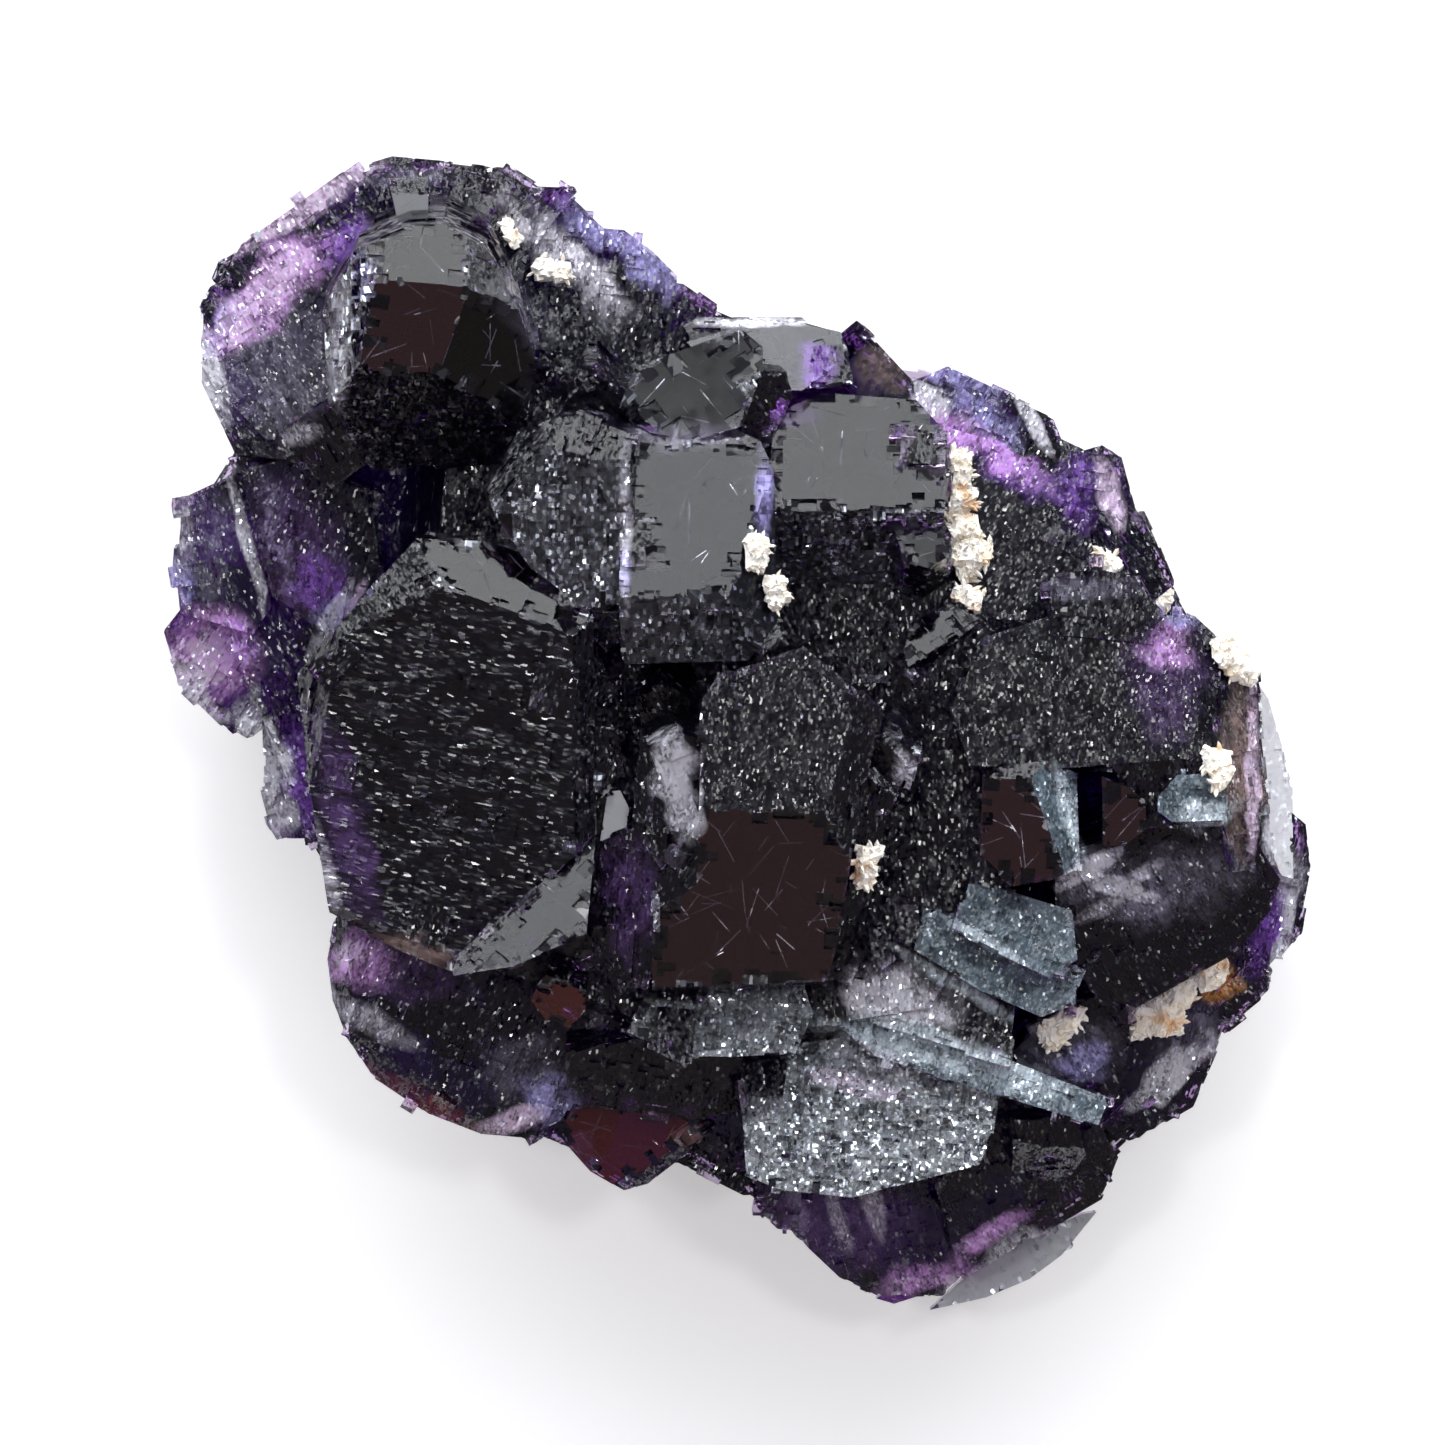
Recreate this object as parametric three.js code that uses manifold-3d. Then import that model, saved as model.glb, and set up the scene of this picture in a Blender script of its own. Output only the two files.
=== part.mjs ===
// A hand-sized cluster of dark purple fluorite: intergrown cubes with bevelled edges, standing on the flat
// face where the group was cut off its rock, with small crusts of cream calcite in the gaps between them.
// Millimetres. X and Y run across the crystal side, and +Z points out of it, up from the resting face.

import * as THREE from "three";
import { ConvexHull } from "three/addons/math/ConvexHull.js";
import Module from "manifold-3d";

// Driving dimensions
const gap = 0.3; // between a crust of calcite and the fluorite around it
const backHeight = 13; // thickness of the massive back that carries the crystals
const backWidest = 6.5; // height at which the back is widest
const backLean = 24; // degrees by which the sides of the back fall in towards the resting face
const coreHeight = 21; // height of the massive middle of the cluster
const coreLean = -18; // degrees by which the sides of the core fall in towards its top
const flankCubes = 30; // cubes grown on the sides of the back
const seed = 20;

// The crystals, each given by the face that looks up. rim is the face's outline seen from above, and top its
// height at the middle of that outline. lean is [towards, by] in degrees, where 0 is +X and 90 is +Y, and
// yaw the direction of its growth steps. deep is the depth of the block below the face. steps is the number
// of growth steps on it. An upright block has vertical sides, and the others have sides square to the face.
// Each row of faces is a further flat face, as a point on it and its lean: [x, y, z, towards, by].
const crystals = [
  {
    name: "north west plate", top: 17.4, lean: [140, 7], yaw: 30, deep: 8, steps: 3,
    rim: [[-29.8, 19.6], [-29.7, 23.4], [-27.6, 27.3], [-22, 31.3], [-18.6, 31.6], [-17, 22], [-22, 15],
      [-27.9, 15.6]],
  },
  {
    name: "north west terrace", top: 18.2, lean: [140, 6], yaw: 30, deep: 6, steps: 2,
    rim: [[-28.6, 19], [-28.2, 22.6], [-25.2, 26.4], [-20.6, 28.6], [-19, 22], [-22.6, 16.6],
      [-26.2, 16.4]],
  },
  {
    name: "north west corner cube", top: 15.6, lean: [150, 14], yaw: 30, deep: 5, steps: 0,
    rim: [[-29.3, 25.4], [-28.9, 26.4], [-27.8, 27], [-27.2, 25.6], [-28.4, 24.4]],
  },
  {
    name: "north west rim cube", top: 15.4, lean: [170, 12], yaw: 8, deep: 5, steps: 0,
    rim: [[-29.9, 23.2], [-29.9, 24.3], [-29.1, 24.3], [-28.6, 23]],
  },
  {
    name: "north crest", top: 17.8, lean: [92, 16], yaw: -6, deep: 8, steps: 0,
    rim: [[-20.5, 31.8], [-19.2, 32.2], [-15.9, 31.9], [-12.5, 31.5], [-10.8, 30.3], [-12, 25], [-19, 25]],
  },
  {
    name: "north plate high", top: 17.6, lean: [60, 8], yaw: -36, deep: 9, steps: 1,
    rim: [[-15, 30.2], [-9.3, 30], [-7.4, 28.2], [-8, 21], [-15, 22]],
  },
  {
    name: "north plate middle", top: 17.2, lean: [58, 8], yaw: -36, deep: 9, steps: 1,
    rim: [[-9, 28.3], [-6.3, 28.1], [-4.7, 26.9], [-3.3, 25.5], [-4.6, 19], [-11, 20]],
  },
  {
    name: "north plate low", top: 16.8, lean: [56, 8], yaw: -36, deep: 9, steps: 1,
    rim: [[-5, 25.4], [-3, 25.1], [-1.1, 23.8], [-2.2, 19.6], [-6, 19]],
  },
  {
    name: "north bead", top: 22.1, lean: [268, 28], yaw: -4, deep: 6, steps: 0, upright: true,
    rim: [[-19.3, 30.8], [-17.1, 30.9], [-17.1, 28.2], [-18.7, 28]],
    faces: [[-18.2, 29.7, 22.5, 88, 30]],
  },
  {
    name: "horn", top: 27.6, lean: [265, 12], yaw: -4, deep: 14, steps: 0,
    rim: [[-22.9, 23], [-21, 26.3], [-18.2, 27.5], [-16.3, 27.6], [-13.9, 26.4], [-12, 23], [-11.2, 20.5],
      [-11.6, 17], [-13.6, 14], [-20.4, 13.6], [-22.6, 18]],
    faces: [
      [-17, 24.8, 28.5, 86, 31],
      [-20.1, 22.5, 28.2, 178, 50],
      [-14.4, 24.2, 28.3, 36, 44],
      [-15.6, 22.4, 28.05, 318, 30],
      [-18, 20.1, 27.6, 268, 50],
    ],
  },
  {
    name: "horn spur", top: 20.4, lean: [215, 30], yaw: 20, deep: 6, steps: 1,
    rim: [[-25.2, 17], [-22.6, 18.4], [-20.6, 15], [-22.6, 13.6], [-25, 15.6]],
  },
  {
    name: "horn heel", top: 20.4, lean: [330, 26], yaw: -20, deep: 8, steps: 1,
    rim: [[-12.8, 18.8], [-11.6, 20.2], [-10.2, 20.4], [-9, 18], [-11.4, 15.4], [-13.4, 17]],
  },
  {
    name: "west block", top: 13.8, lean: [192, 10], yaw: 9, deep: 7, steps: 2,
    rim: [[-31.1, 6.8], [-31.3, 8.6], [-31, 13.2], [-28.2, 14.5], [-27.4, 14.4], [-26, 7.2], [-27, 5.6]],
  },
  {
    name: "west bar", top: 16.6, lean: [212, 9], yaw: 9, deep: 9, steps: 1,
    rim: [[-27.6, 14.7], [-25, 15.4], [-20.4, 13.4], [-19.9, 9.5], [-20.8, 6.2], [-22.3, 5.3],
      [-26.1, 7.6]],
    faces: [[-21.6, 8, 16.2, 245, 32]],
  },
  {
    name: "west foot", top: 11.6, lean: [222, 12], yaw: -33, deep: 6, steps: 2,
    rim: [[-32.2, 5.7], [-31, 7.2], [-27, 7], [-24.6, 3.4], [-27, 0.4], [-28.4, 0], [-31.3, 2.8]],
  },
  {
    name: "west chip", top: 11.4, lean: [200, 12], yaw: 14, deep: 6, steps: 2,
    rim: [[-26.6, 1.5], [-26.2, 2.7], [-23.6, 1], [-22.4, -4.8], [-23.8, -5.8], [-25.2, -5.8], [-26.5, -4]],
  },
  {
    name: "great cube", top: 26.9, lean: [222, 7], yaw: -11, deep: 18, steps: 4,
    rim: [[-24.5, 3.2], [-17.8, 10.7], [-13, 10.4], [-8.7, 8.5], [-8, 6.6], [-7.9, -5.6], [-15.7, -13.2],
      [-18.6, -12], [-22.5, -9.8]],
    faces: [
      [-15, 7.5, 27.9, 76, 33],
      [-23, -2, 26.5, 174, 52],
      [-18, -11.5, 25.6, 246, 44],
      [-20.6, 5.6, 27.2, 132, 24],
      [-9.6, 0.6, 28, 352, 30],
    ],
  },
  {
    name: "great cube shelf", top: 27.6, lean: [80, 24], yaw: 38, deep: 10, steps: 0, upright: true,
    rim: [[-7.8, -5.6], [-15.7, -12.3], [-15.6, -13.2], [-12.3, -12.7], [-8.3, -10.9]],
  },
  {
    name: "great cube stub", top: 27.4, lean: [205, 10], yaw: -11, deep: 8, steps: 0,
    rim: [[-23.8, 3.8], [-21.4, 5.2], [-20.5, 4.4], [-22.6, 2.4]],
  },
  {
    name: "rift prism", top: 26.4, lean: [340, 22], yaw: -46, deep: 8, steps: 0,
    rim: [[-10.4, 5.6], [-8.8, 5.4], [-6.4, 2.7], [-8.2, 0.5], [-10, 0.6]],
  },
  {
    name: "rift step high", top: 26, lean: [350, 12], yaw: -8, deep: 8, steps: 1,
    rim: [[-9.6, 0.6], [-6.6, 0.4], [-6.2, -2.3], [-9.4, -2.4]],
  },
  {
    name: "rift cube", top: 25.6, lean: [80, 26], yaw: -4, deep: 8, steps: 0, upright: true,
    rim: [[-9.2, -2.4], [-7.1, -2.2], [-6.8, -3.3], [-8.7, -3.7]],
  },
  {
    name: "rift step low", top: 24.8, lean: [330, 18], yaw: -8, deep: 8, steps: 1,
    rim: [[-9, -3.4], [-6.6, -3.2], [-5.4, -5.6], [-8.2, -6.2]],
  },
  {
    name: "heart west", top: 28, lean: [212, 12], yaw: -14, deep: 14, steps: 1,
    rim: [[-13.9, 13.4], [-12.3, 16.6], [-10.4, 17.3], [-9, 17.4], [-6, 16.4], [-5.4, 7], [-8.4, 7],
      [-11.4, 9.2], [-13.3, 12]],
    faces: [[-10, 15.2, 28.6, 92, 28], [-12.6, 13.4, 27.6, 152, 38]],
  },
  {
    name: "heart", top: 28.9, lean: [90, 23], yaw: 0, deep: 14, steps: 1, upright: true,
    rim: [[-6.4, 16.8], [-1, 17.2], [1.2, 16.3], [2, 14.6], [2.2, 6.2], [0.6, 4.1], [-6.2, 3.9],
      [-6.5, 6.6]],
    faces: [[-3, 15.1, 27.4, 90, 42], [-3, 8, 30.4, 269, 33], [0.1, 11, 29.1, 15, 36]],
  },
  {
    name: "heart left foot", top: 27.4, lean: [196, 36], yaw: -4, deep: 9, steps: 0,
    rim: [[-8.4, 7], [-6.6, 6.9], [-6.7, 5.1], [-7.2, 4.5], [-8.4, 5.9]],
  },
  {
    name: "heart right foot", top: 27.8, lean: [60, 34], yaw: 20, deep: 9, steps: 0, upright: true,
    rim: [[0.9, 6.1], [2.5, 6.4], [2.6, 5.6], [1.3, 4.3], [0.7, 5]],
  },
  {
    name: "rift pebble", top: 24.6, lean: [240, 20], yaw: 24, deep: 9, steps: 0,
    rim: [[-5.8, 2.4], [-4.4, 3.4], [-2.6, 2], [-2.8, 0.2], [-5.4, 0.2]],
    faces: [[-5, 2, 24.8, 130, 40]],
  },
  {
    name: "north shoulder", top: 25.6, lean: [96, 17], yaw: 16, deep: 13, steps: 0, upright: true,
    rim: [[-6.5, 18.1], [-5.6, 20.3], [0.2, 22.4], [1.4, 21.4], [1.4, 20.2], [0.3, 17], [-2.4, 16.2],
      [-5.6, 16.8]],
    faces: [[-3, 21, 25.2, 112, 38], [-5.9, 18.4, 25.6, 190, 30]],
  },
  {
    name: "north shoulder back", top: 23.4, lean: [84, 40], yaw: -8, deep: 12, steps: 0, upright: true,
    rim: [[-2.8, 21.7], [0.9, 22.85], [3.9, 22.8], [5.7, 22.3], [6.2, 21], [3.6, 19], [0, 19]],
  },
  {
    name: "north shoulder notch", top: 25, lean: [310, 20], yaw: 30, deep: 10, steps: 1,
    rim: [[0, 19.6], [0.8, 20.1], [2.7, 20], [3.1, 18.6], [2, 16.6], [0, 16.7]],
  },
  {
    name: "north violet cube", top: 23.6, lean: [70, 30], yaw: -30, deep: 10, steps: 0, upright: true,
    rim: [[3.8, 19], [4.2, 21.5], [6, 21.6], [6.4, 19.4]],
  },
  {
    name: "north sliver", top: 19.8, lean: [90, 52], yaw: 0, deep: 7, steps: 0, upright: true,
    rim: [[-3, 22.7], [-2.2, 23.2], [3.6, 23.2], [3.9, 22.9], [3, 21.4], [-2, 21]],
  },
  {
    name: "north gap cube", top: 23, lean: [268, 22], yaw: -38, deep: 9, steps: 0,
    rim: [[-9.9, 17.8], [-8.5, 20.1], [-7.8, 20.1], [-6.1, 18.3], [-6.6, 17.2], [-9.6, 17.2]],
    faces: [[-9, 18.6, 23.2, 138, 34]],
  },
  {
    name: "east shoulder", top: 27.4, lean: [90, 26], yaw: -4, deep: 16, steps: 1, upright: true,
    rim: [[1.8, 15], [2.1, 17.8], [4.8, 18.9], [9.9, 18.5], [11.4, 16.8], [11.7, 14.5], [10.9, 8.6],
      [9.6, 3], [4.4, 2.4], [2, 6], [1.8, 11]],
    faces: [[6, 13.8, 28.5, 269, 54], [9.5, 16, 27.4, 40, 26]],
  },
  {
    name: "east knob", top: 25.3, lean: [84, 18], yaw: 14, deep: 10, steps: 0,
    rim: [[8.4, 12.2], [8.9, 13.1], [9.9, 13.3], [11, 12.6], [11.9, 10.9], [11.8, 10], [10.5, 9.2],
      [9.3, 9.5], [8.8, 10.8]],
  },
  {
    name: "north east fin", top: 20.8, lean: [222, 30], yaw: -46, deep: 9, steps: 1, upright: true,
    rim: [[5.8, 22.1], [6.6, 22.7], [7.2, 22.3], [9.6, 19.7], [9.9, 18.5], [8.4, 17.6], [6, 19.4]],
    faces: [[8.2, 20.9, 21.6, 44, 50]],
  },
  {
    name: "east plate", top: 17.6, lean: [52, 6], yaw: -26, deep: 9, steps: 2,
    rim: [[9.8, 19.7], [11.7, 20.5], [17.5, 17.8], [18.4, 15.5], [20, 9], [17, 5.6], [11, 5.6]],
  },
  {
    name: "east plate terrace", top: 18.2, lean: [52, 6], yaw: -26, deep: 6, steps: 2,
    rim: [[10.6, 17.4], [13.4, 16.6], [17.2, 14.9], [18.6, 13.6], [19.6, 9.4], [16.6, 6.4], [11.4, 6.4]],
  },
  {
    name: "east tooth", top: 16.2, lean: [60, 10], yaw: -8, deep: 8, steps: 1,
    rim: [[18.2, 15.5], [20.3, 16.15], [21.4, 15.5], [22.2, 12.8], [21, 10], [18, 12]],
    faces: [[21.2, 13, 16.2, 12, 34]],
  },
  {
    name: "east heel", top: 17, lean: [20, 16], yaw: 30, deep: 9, steps: 1,
    rim: [[20, 12], [22.7, 12.5], [23.4, 10.9], [24.4, 8.4], [22, 6.5], [19.5, 9]],
  },
  {
    name: "east cube", top: 23.6, lean: [72, 5], yaw: -3, deep: 15, steps: 2,
    rim: [[11.8, 1.5], [13.7, 5.4], [17.3, 6.6], [24.3, 6.6], [26.5, 5.2], [26.4, -1.2], [18, -1.8],
      [12.8, -1.7]],
    faces: [[25.6, 2, 23.4, 20, 22]],
  },
  {
    name: "east cube head", top: 23.6, lean: [80, 8], yaw: -3, deep: 13, steps: 1,
    rim: [[17.3, 5.6], [17.3, 8.7], [19.8, 9.2], [21.9, 8.8], [23.6, 7], [23, 5]],
  },
  {
    name: "east clear cube", top: 22.2, lean: [50, 24], yaw: 50, deep: 8, steps: 0,
    rim: [[23.2, 4.4], [24.4, 6.7], [25.3, 6.6], [26.7, 5.3], [25.6, 3.8]],
  },
  {
    name: "east flank", top: 21, lean: [2, 36], yaw: 4, deep: 12, steps: 1,
    rim: [[26, 5.2], [27.4, 4.6], [28.9, 3], [29.8, -7.2], [27.6, -7.6], [26, -1.4]],
  },
  {
    name: "east mirror", top: 18.4, lean: [4, 56], yaw: -6, deep: 8, steps: 0,
    rim: [[29, 2.7], [29.5, 2], [30.4, -1], [30.9, -3], [30.9, -8], [30.2, -7.8], [28.8, -4.6], [28.7, -1]],
  },
  {
    name: "gap cube north", top: 22.6, lean: [80, 26], yaw: 34, deep: 8, steps: 0, upright: true,
    rim: [[9.2, 4.6], [9.6, 6.2], [11.8, 7.3], [13.5, 6.4], [13, 5.7], [9.6, 3.2]],
    faces: [[11.2, 5.2, 23, 318, 50]],
  },
  {
    name: "gap cube south", top: 20.2, lean: [300, 24], yaw: 34, deep: 8, steps: 0,
    rim: [[8.4, 2], [11.4, 5.2], [13, 5.8], [13.7, 5.2], [12.5, 3], [10, 1.6]],
  },
  {
    name: "brow west", top: 24.4, lean: [262, 9], yaw: 4, deep: 12, steps: 0,
    rim: [[13.5, -2.4], [14.4, -1.9], [17, -1.5], [18.7, -2.4], [18.9, -7.4], [17.4, -8], [15, -8.4],
      [13.4, -6.6]],
    faces: [[17.2, -4.6, 24.3, 8, 34], [15.4, -2.5, 24.8, 88, 30]],
  },
  {
    name: "brow east", top: 24, lean: [262, 8], yaw: -4, deep: 12, steps: 0,
    rim: [[20.1, -2.4], [21.4, -2.8], [22.5, -3.6], [22.6, -5.2], [21.5, -6], [20.2, -6.4]],
  },
  {
    name: "brow bridge", top: 23.2, lean: [262, 6], yaw: -4, deep: 10, steps: 0,
    rim: [[20.6, -1.5], [26.4, -1.2], [26.9, -5], [22.4, -5.2]],
  },
  {
    name: "brow plate", top: 23.9, lean: [80, 10], yaw: -4, deep: 8, steps: 0,
    rim: [[23.2, -3.4], [24.3, -2.2], [26.9, -2.1], [27.1, -3.6], [26.8, -4.7], [24, -4.8], [23.2, -4.2]],
  },
  {
    name: "south east face", top: 20.6, lean: [298, 14], yaw: 30, deep: 13, steps: 2,
    rim: [[17.6, -7], [23, -4.8], [28, -4.8], [30.1, -8], [29.5, -9.8], [27.8, -12], [22, -15.2],
      [20.2, -14.6], [17.6, -10.5]],
  },
  {
    name: "east rim", top: 12.6, lean: [350, 22], yaw: -10, deep: 7, steps: 1,
    rim: [[30.6, -4], [31.8, -5], [32.1, -7.5], [31.4, -11], [29.4, -13.3], [27, -12], [28, -5]],
  },
  {
    name: "south east rim high", top: 13.6, lean: [318, 20], yaw: 42, deep: 8, steps: 2,
    rim: [[27.2, -11.4], [29.5, -12.8], [29.3, -14.8], [27.6, -16.2], [22, -16], [22.6, -13]],
  },
  {
    name: "south east rim low", top: 13.4, lean: [316, 20], yaw: 42, deep: 8, steps: 2,
    rim: [[27.4, -16], [26.8, -17.8], [25.5, -20.8], [23.4, -22], [21.7, -22.5], [19, -20], [21.6, -14.8]],
  },
  {
    name: "south east lilac cube", top: 17.4, lean: [305, 16], yaw: 30, deep: 9, steps: 1,
    rim: [[15.2, -17.7], [18.2, -15], [21.6, -14.6], [21.9, -17], [21.2, -20.2], [17, -20]],
  },
  {
    name: "ledge high", top: 22.6, lean: [72, 14], yaw: -28, deep: 12, steps: 0, upright: true,
    rim: [[12.9, -8], [18.5, -9.7], [18.8, -12.4], [17.2, -13.4], [12.6, -11.2], [12.1, -10.2]],
  },
  {
    name: "ledge middle", top: 21.6, lean: [72, 14], yaw: -28, deep: 12, steps: 0, upright: true,
    rim: [[10.3, -9.6], [11.6, -9.7], [18.8, -12.8], [18.7, -14.9], [16.8, -15.6], [13.4, -14.1],
      [9.8, -11.9]],
  },
  {
    name: "ledge tooth", top: 22.2, lean: [80, 16], yaw: -20, deep: 10, steps: 0, upright: true,
    rim: [[8.7, -9.4], [10, -9.4], [10.1, -11], [9.4, -11.7], [8.8, -10.8]],
  },
  {
    name: "ledge tooth west", top: 22.4, lean: [80, 14], yaw: -20, deep: 10, steps: 0, upright: true,
    rim: [[7.2, -10.7], [8.1, -10.6], [8.8, -12.4], [8, -13], [7.4, -12]],
  },
  {
    name: "ledge dark cube", top: 23, lean: [262, 10], yaw: -10, deep: 11, steps: 0,
    rim: [[5.1, -11], [5.6, -10.4], [6.4, -10.6], [6.9, -12.5], [6.3, -13.7], [5, -13.5]],
  },
  {
    name: "ledge low", top: 20.4, lean: [74, 18], yaw: -20, deep: 10, steps: 0, upright: true,
    rim: [[5.4, -14.8], [9, -15.6], [20.6, -20.2], [20, -21.6], [14.2, -19.9], [7.4, -17.7], [5.3, -15.8]],
  },
  {
    name: "glitter shelf", top: 20.6, lean: [82, 14], yaw: -18, deep: 10, steps: 1, upright: true,
    rim: [[4.6, -13.6], [10, -11.8], [15.4, -15], [15, -18.2], [5, -15.2]],
  },
  {
    name: "south drum", top: 20, lean: [96, 16], yaw: -6, deep: 13, steps: 2, upright: true,
    rim: [[0.1, -18.6], [0.6, -17.3], [6, -16], [14.6, -19.4], [14.2, -22], [13.4, -23.8], [6.4, -25.6],
      [2.4, -25.2], [0.5, -24.4]],
  },
  {
    name: "south skirt", top: 14.8, lean: [276, 30], yaw: -6, deep: 9, steps: 2,
    rim: [[0.9, -24.6], [1.4, -26.2], [6, -30.6], [7.9, -31.5], [11.5, -31.4], [15, -27.6], [14.6, -20],
      [6, -22]],
  },
  {
    name: "south skirt east", top: 15.2, lean: [305, 30], yaw: 22, deep: 9, steps: 1,
    rim: [[12.6, -30.5], [16, -28.5], [20.3, -26.2], [21.3, -23.6], [19.4, -21], [14.2, -19.6], [11, -25]],
  },
  {
    name: "south gap cube", top: 18.4, lean: [290, 18], yaw: 4, deep: 8, steps: 0,
    rim: [[15.2, -21.4], [18.6, -21], [19.4, -23.4], [18.6, -25.8], [15.6, -25.4]],
    faces: [[17, -22.8, 18.6, 268, 60]],
  },
  {
    name: "south mirror", top: 9.6, lean: [78, 24], yaw: 21, deep: 3.5, steps: 0, upright: true,
    rim: [[10.8, -32.2], [13.2, -30], [16.6, -28.1], [19.4, -26.9], [20.2, -26.8], [18.2, -29.2],
      [16.4, -30.5], [14, -31.5]],
  },
  {
    name: "south mirror west", top: 9.4, lean: [80, 24], yaw: 30, deep: 3, steps: 0, upright: true,
    rim: [[7.8, -31.6], [9.9, -30], [10.4, -31.4], [8.8, -31.9]],
  },
  {
    name: "middle cube", top: 31, lean: [80, 5], yaw: -7, deep: 18, steps: 2,
    rim: [[-2.2, -8], [-2, -0.4], [-1.7, 1.9], [-0.8, 3.2], [3.6, 4.9], [8.1, 1.2], [6.6, -5], [6, -8]],
    faces: [[2, -4.1, 31.3, 268, 27], [6.4, -8, 29.8, 352, 34]],
  },
  {
    name: "middle front", top: 30.4, lean: [80, 5], yaw: -7, deep: 16, steps: 0,
    rim: [[-4.6, -13.5], [-4.7, -9], [-2.3, -4.4], [6.6, -4.4], [5.6, -11], [5, -13.2]],
    faces: [[2, -4.1, 31.3, 268, 27], [6.4, -8, 29.8, 352, 34], [-4, -10, 28.4, 190, 20]],
  },
  {
    name: "middle flank", top: 25.4, lean: [205, 22], yaw: -7, deep: 12, steps: 2,
    rim: [[-8.6, -7.2], [-7.4, -5.8], [-5.4, -5], [-2.4, -4], [-3.6, -12.6], [-6.4, -13.6], [-8, -12]],
  },
  {
    name: "middle flake", top: 28.2, lean: [285, 16], yaw: -14, deep: 9, steps: 0,
    rim: [[-4.9, -0.7], [-3.2, 0.1], [-1.9, -0.2], [-1.7, -3], [-2.5, -6.1], [-3.3, -4.6]],
  },
  {
    name: "middle west step", top: 27, lean: [190, 20], yaw: -8, deep: 10, steps: 1,
    rim: [[-5.6, -0.2], [-4, 0.2], [-2.2, -5], [-4.2, -7.4], [-5.8, -5.2]],
  },
  {
    name: "middle bead north", top: 27.4, lean: [250, 16], yaw: -30, deep: 10, steps: 0,
    rim: [[6.8, -0.9], [8.1, 0.1], [8.9, -0.3], [9.7, -1.9], [9.5, -3], [7.4, -2.4]],
    faces: [[8.6, -0.9, 27.6, 32, 36]],
  },
  {
    name: "middle bead south", top: 28.2, lean: [250, 14], yaw: -36, deep: 10, steps: 0,
    rim: [[6.3, -2], [7.5, -1.9], [8.8, -3.4], [8.3, -4.4], [6.6, -4.6]],
    faces: [[7.9, -2.8, 28.3, 46, 36]],
  },
  {
    name: "middle east step", top: 26.6, lean: [330, 20], yaw: -8, deep: 10, steps: 1,
    rim: [[6, -4.6], [8.2, -4.4], [7.6, -8.6], [5.6, -11.4], [5, -9]],
  },
  {
    name: "rift floor", top: 20.4, lean: [300, 8], yaw: -20, deep: 9, steps: 1,
    rim: [[6.5, 3.4], [11, 3], [13, -1], [13.6, -8], [10, -10.4], [6.4, -9.6]],
  },
  {
    name: "south bank", top: 22.8, lean: [84, 13], yaw: -5, deep: 12, steps: 2, upright: true,
    rim: [[-6.1, -16.4], [-5, -14.4], [-3.5, -13.3], [3.6, -13.6], [4.2, -15.4], [3.2, -17.6], [-3, -17.9]],
  },
  {
    name: "south gap face", top: 18.6, lean: [270, 28], yaw: -5, deep: 10, steps: 1,
    rim: [[-9.2, -17.6], [-5, -16.8], [0.6, -17.4], [0.6, -20.8], [-2, -21.4], [-9, -20.6]],
  },
  {
    name: "south cube", top: 16.2, lean: [262, 9], yaw: 36, deep: 10, steps: 0,
    rim: [[-10.3, -21.9], [-8.5, -20], [-6.3, -18.8], [-3.6, -19.9], [-1.2, -21.8], [-3.2, -23.7],
      [-5, -25.1], [-6.3, -25.4], [-8.2, -24.3]],
    faces: [[-4.4, -23.9, 15.8, 300, 42]],
  },
  {
    name: "south fin", top: 13.6, lean: [285, 24], yaw: 10, deep: 7, steps: 0,
    rim: [[-3, -21], [-2.2, -23], [1.4, -25.4], [2, -21]],
  },
  {
    name: "south west plate", top: 17.6, lean: [240, 9], yaw: -24, deep: 10, steps: 3,
    rim: [[-22.9, -12.6], [-22.6, -14.9], [-21.8, -16.8], [-20.4, -19.2], [-17.4, -21.2], [-14.3, -22.3],
      [-11.5, -22.4], [-9.6, -21.3], [-6.2, -16], [-7, -12], [-16, -10], [-22.4, -10.3]],
    faces: [[-17.4, -19.2, 16.9, 238, 40], [-22, -13.4, 17, 190, 46], [-9.4, -18, 18.2, 320, 14]],
  },
  {
    name: "south west chock", top: 22, lean: [262, 34], yaw: -34, deep: 8, steps: 0,
    rim: [[-11.4, -14.7], [-11, -13.8], [-10, -12.6], [-8.4, -14], [-8.4, -15.4], [-9.4, -16.2],
      [-10.6, -15.8]],
    faces: [[-9.9, -13.6, 22.6, 52, 36]],
  },
  {
    name: "south west black cube", top: 21.4, lean: [275, 30], yaw: -14, deep: 9, steps: 0,
    rim: [[-12.6, -12.6], [-11, -10.8], [-8.4, -10.8], [-6.4, -13.8], [-8.9, -14.2], [-12.4, -13.4]],
  },
  {
    name: "south west red corner", top: 24.4, lean: [240, 30], yaw: -20, deep: 9, steps: 0,
    rim: [[-7.9, -11.8], [-5.6, -12.1], [-4.9, -13.7], [-6, -14], [-7.3, -13.1]],
  },
];

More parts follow.
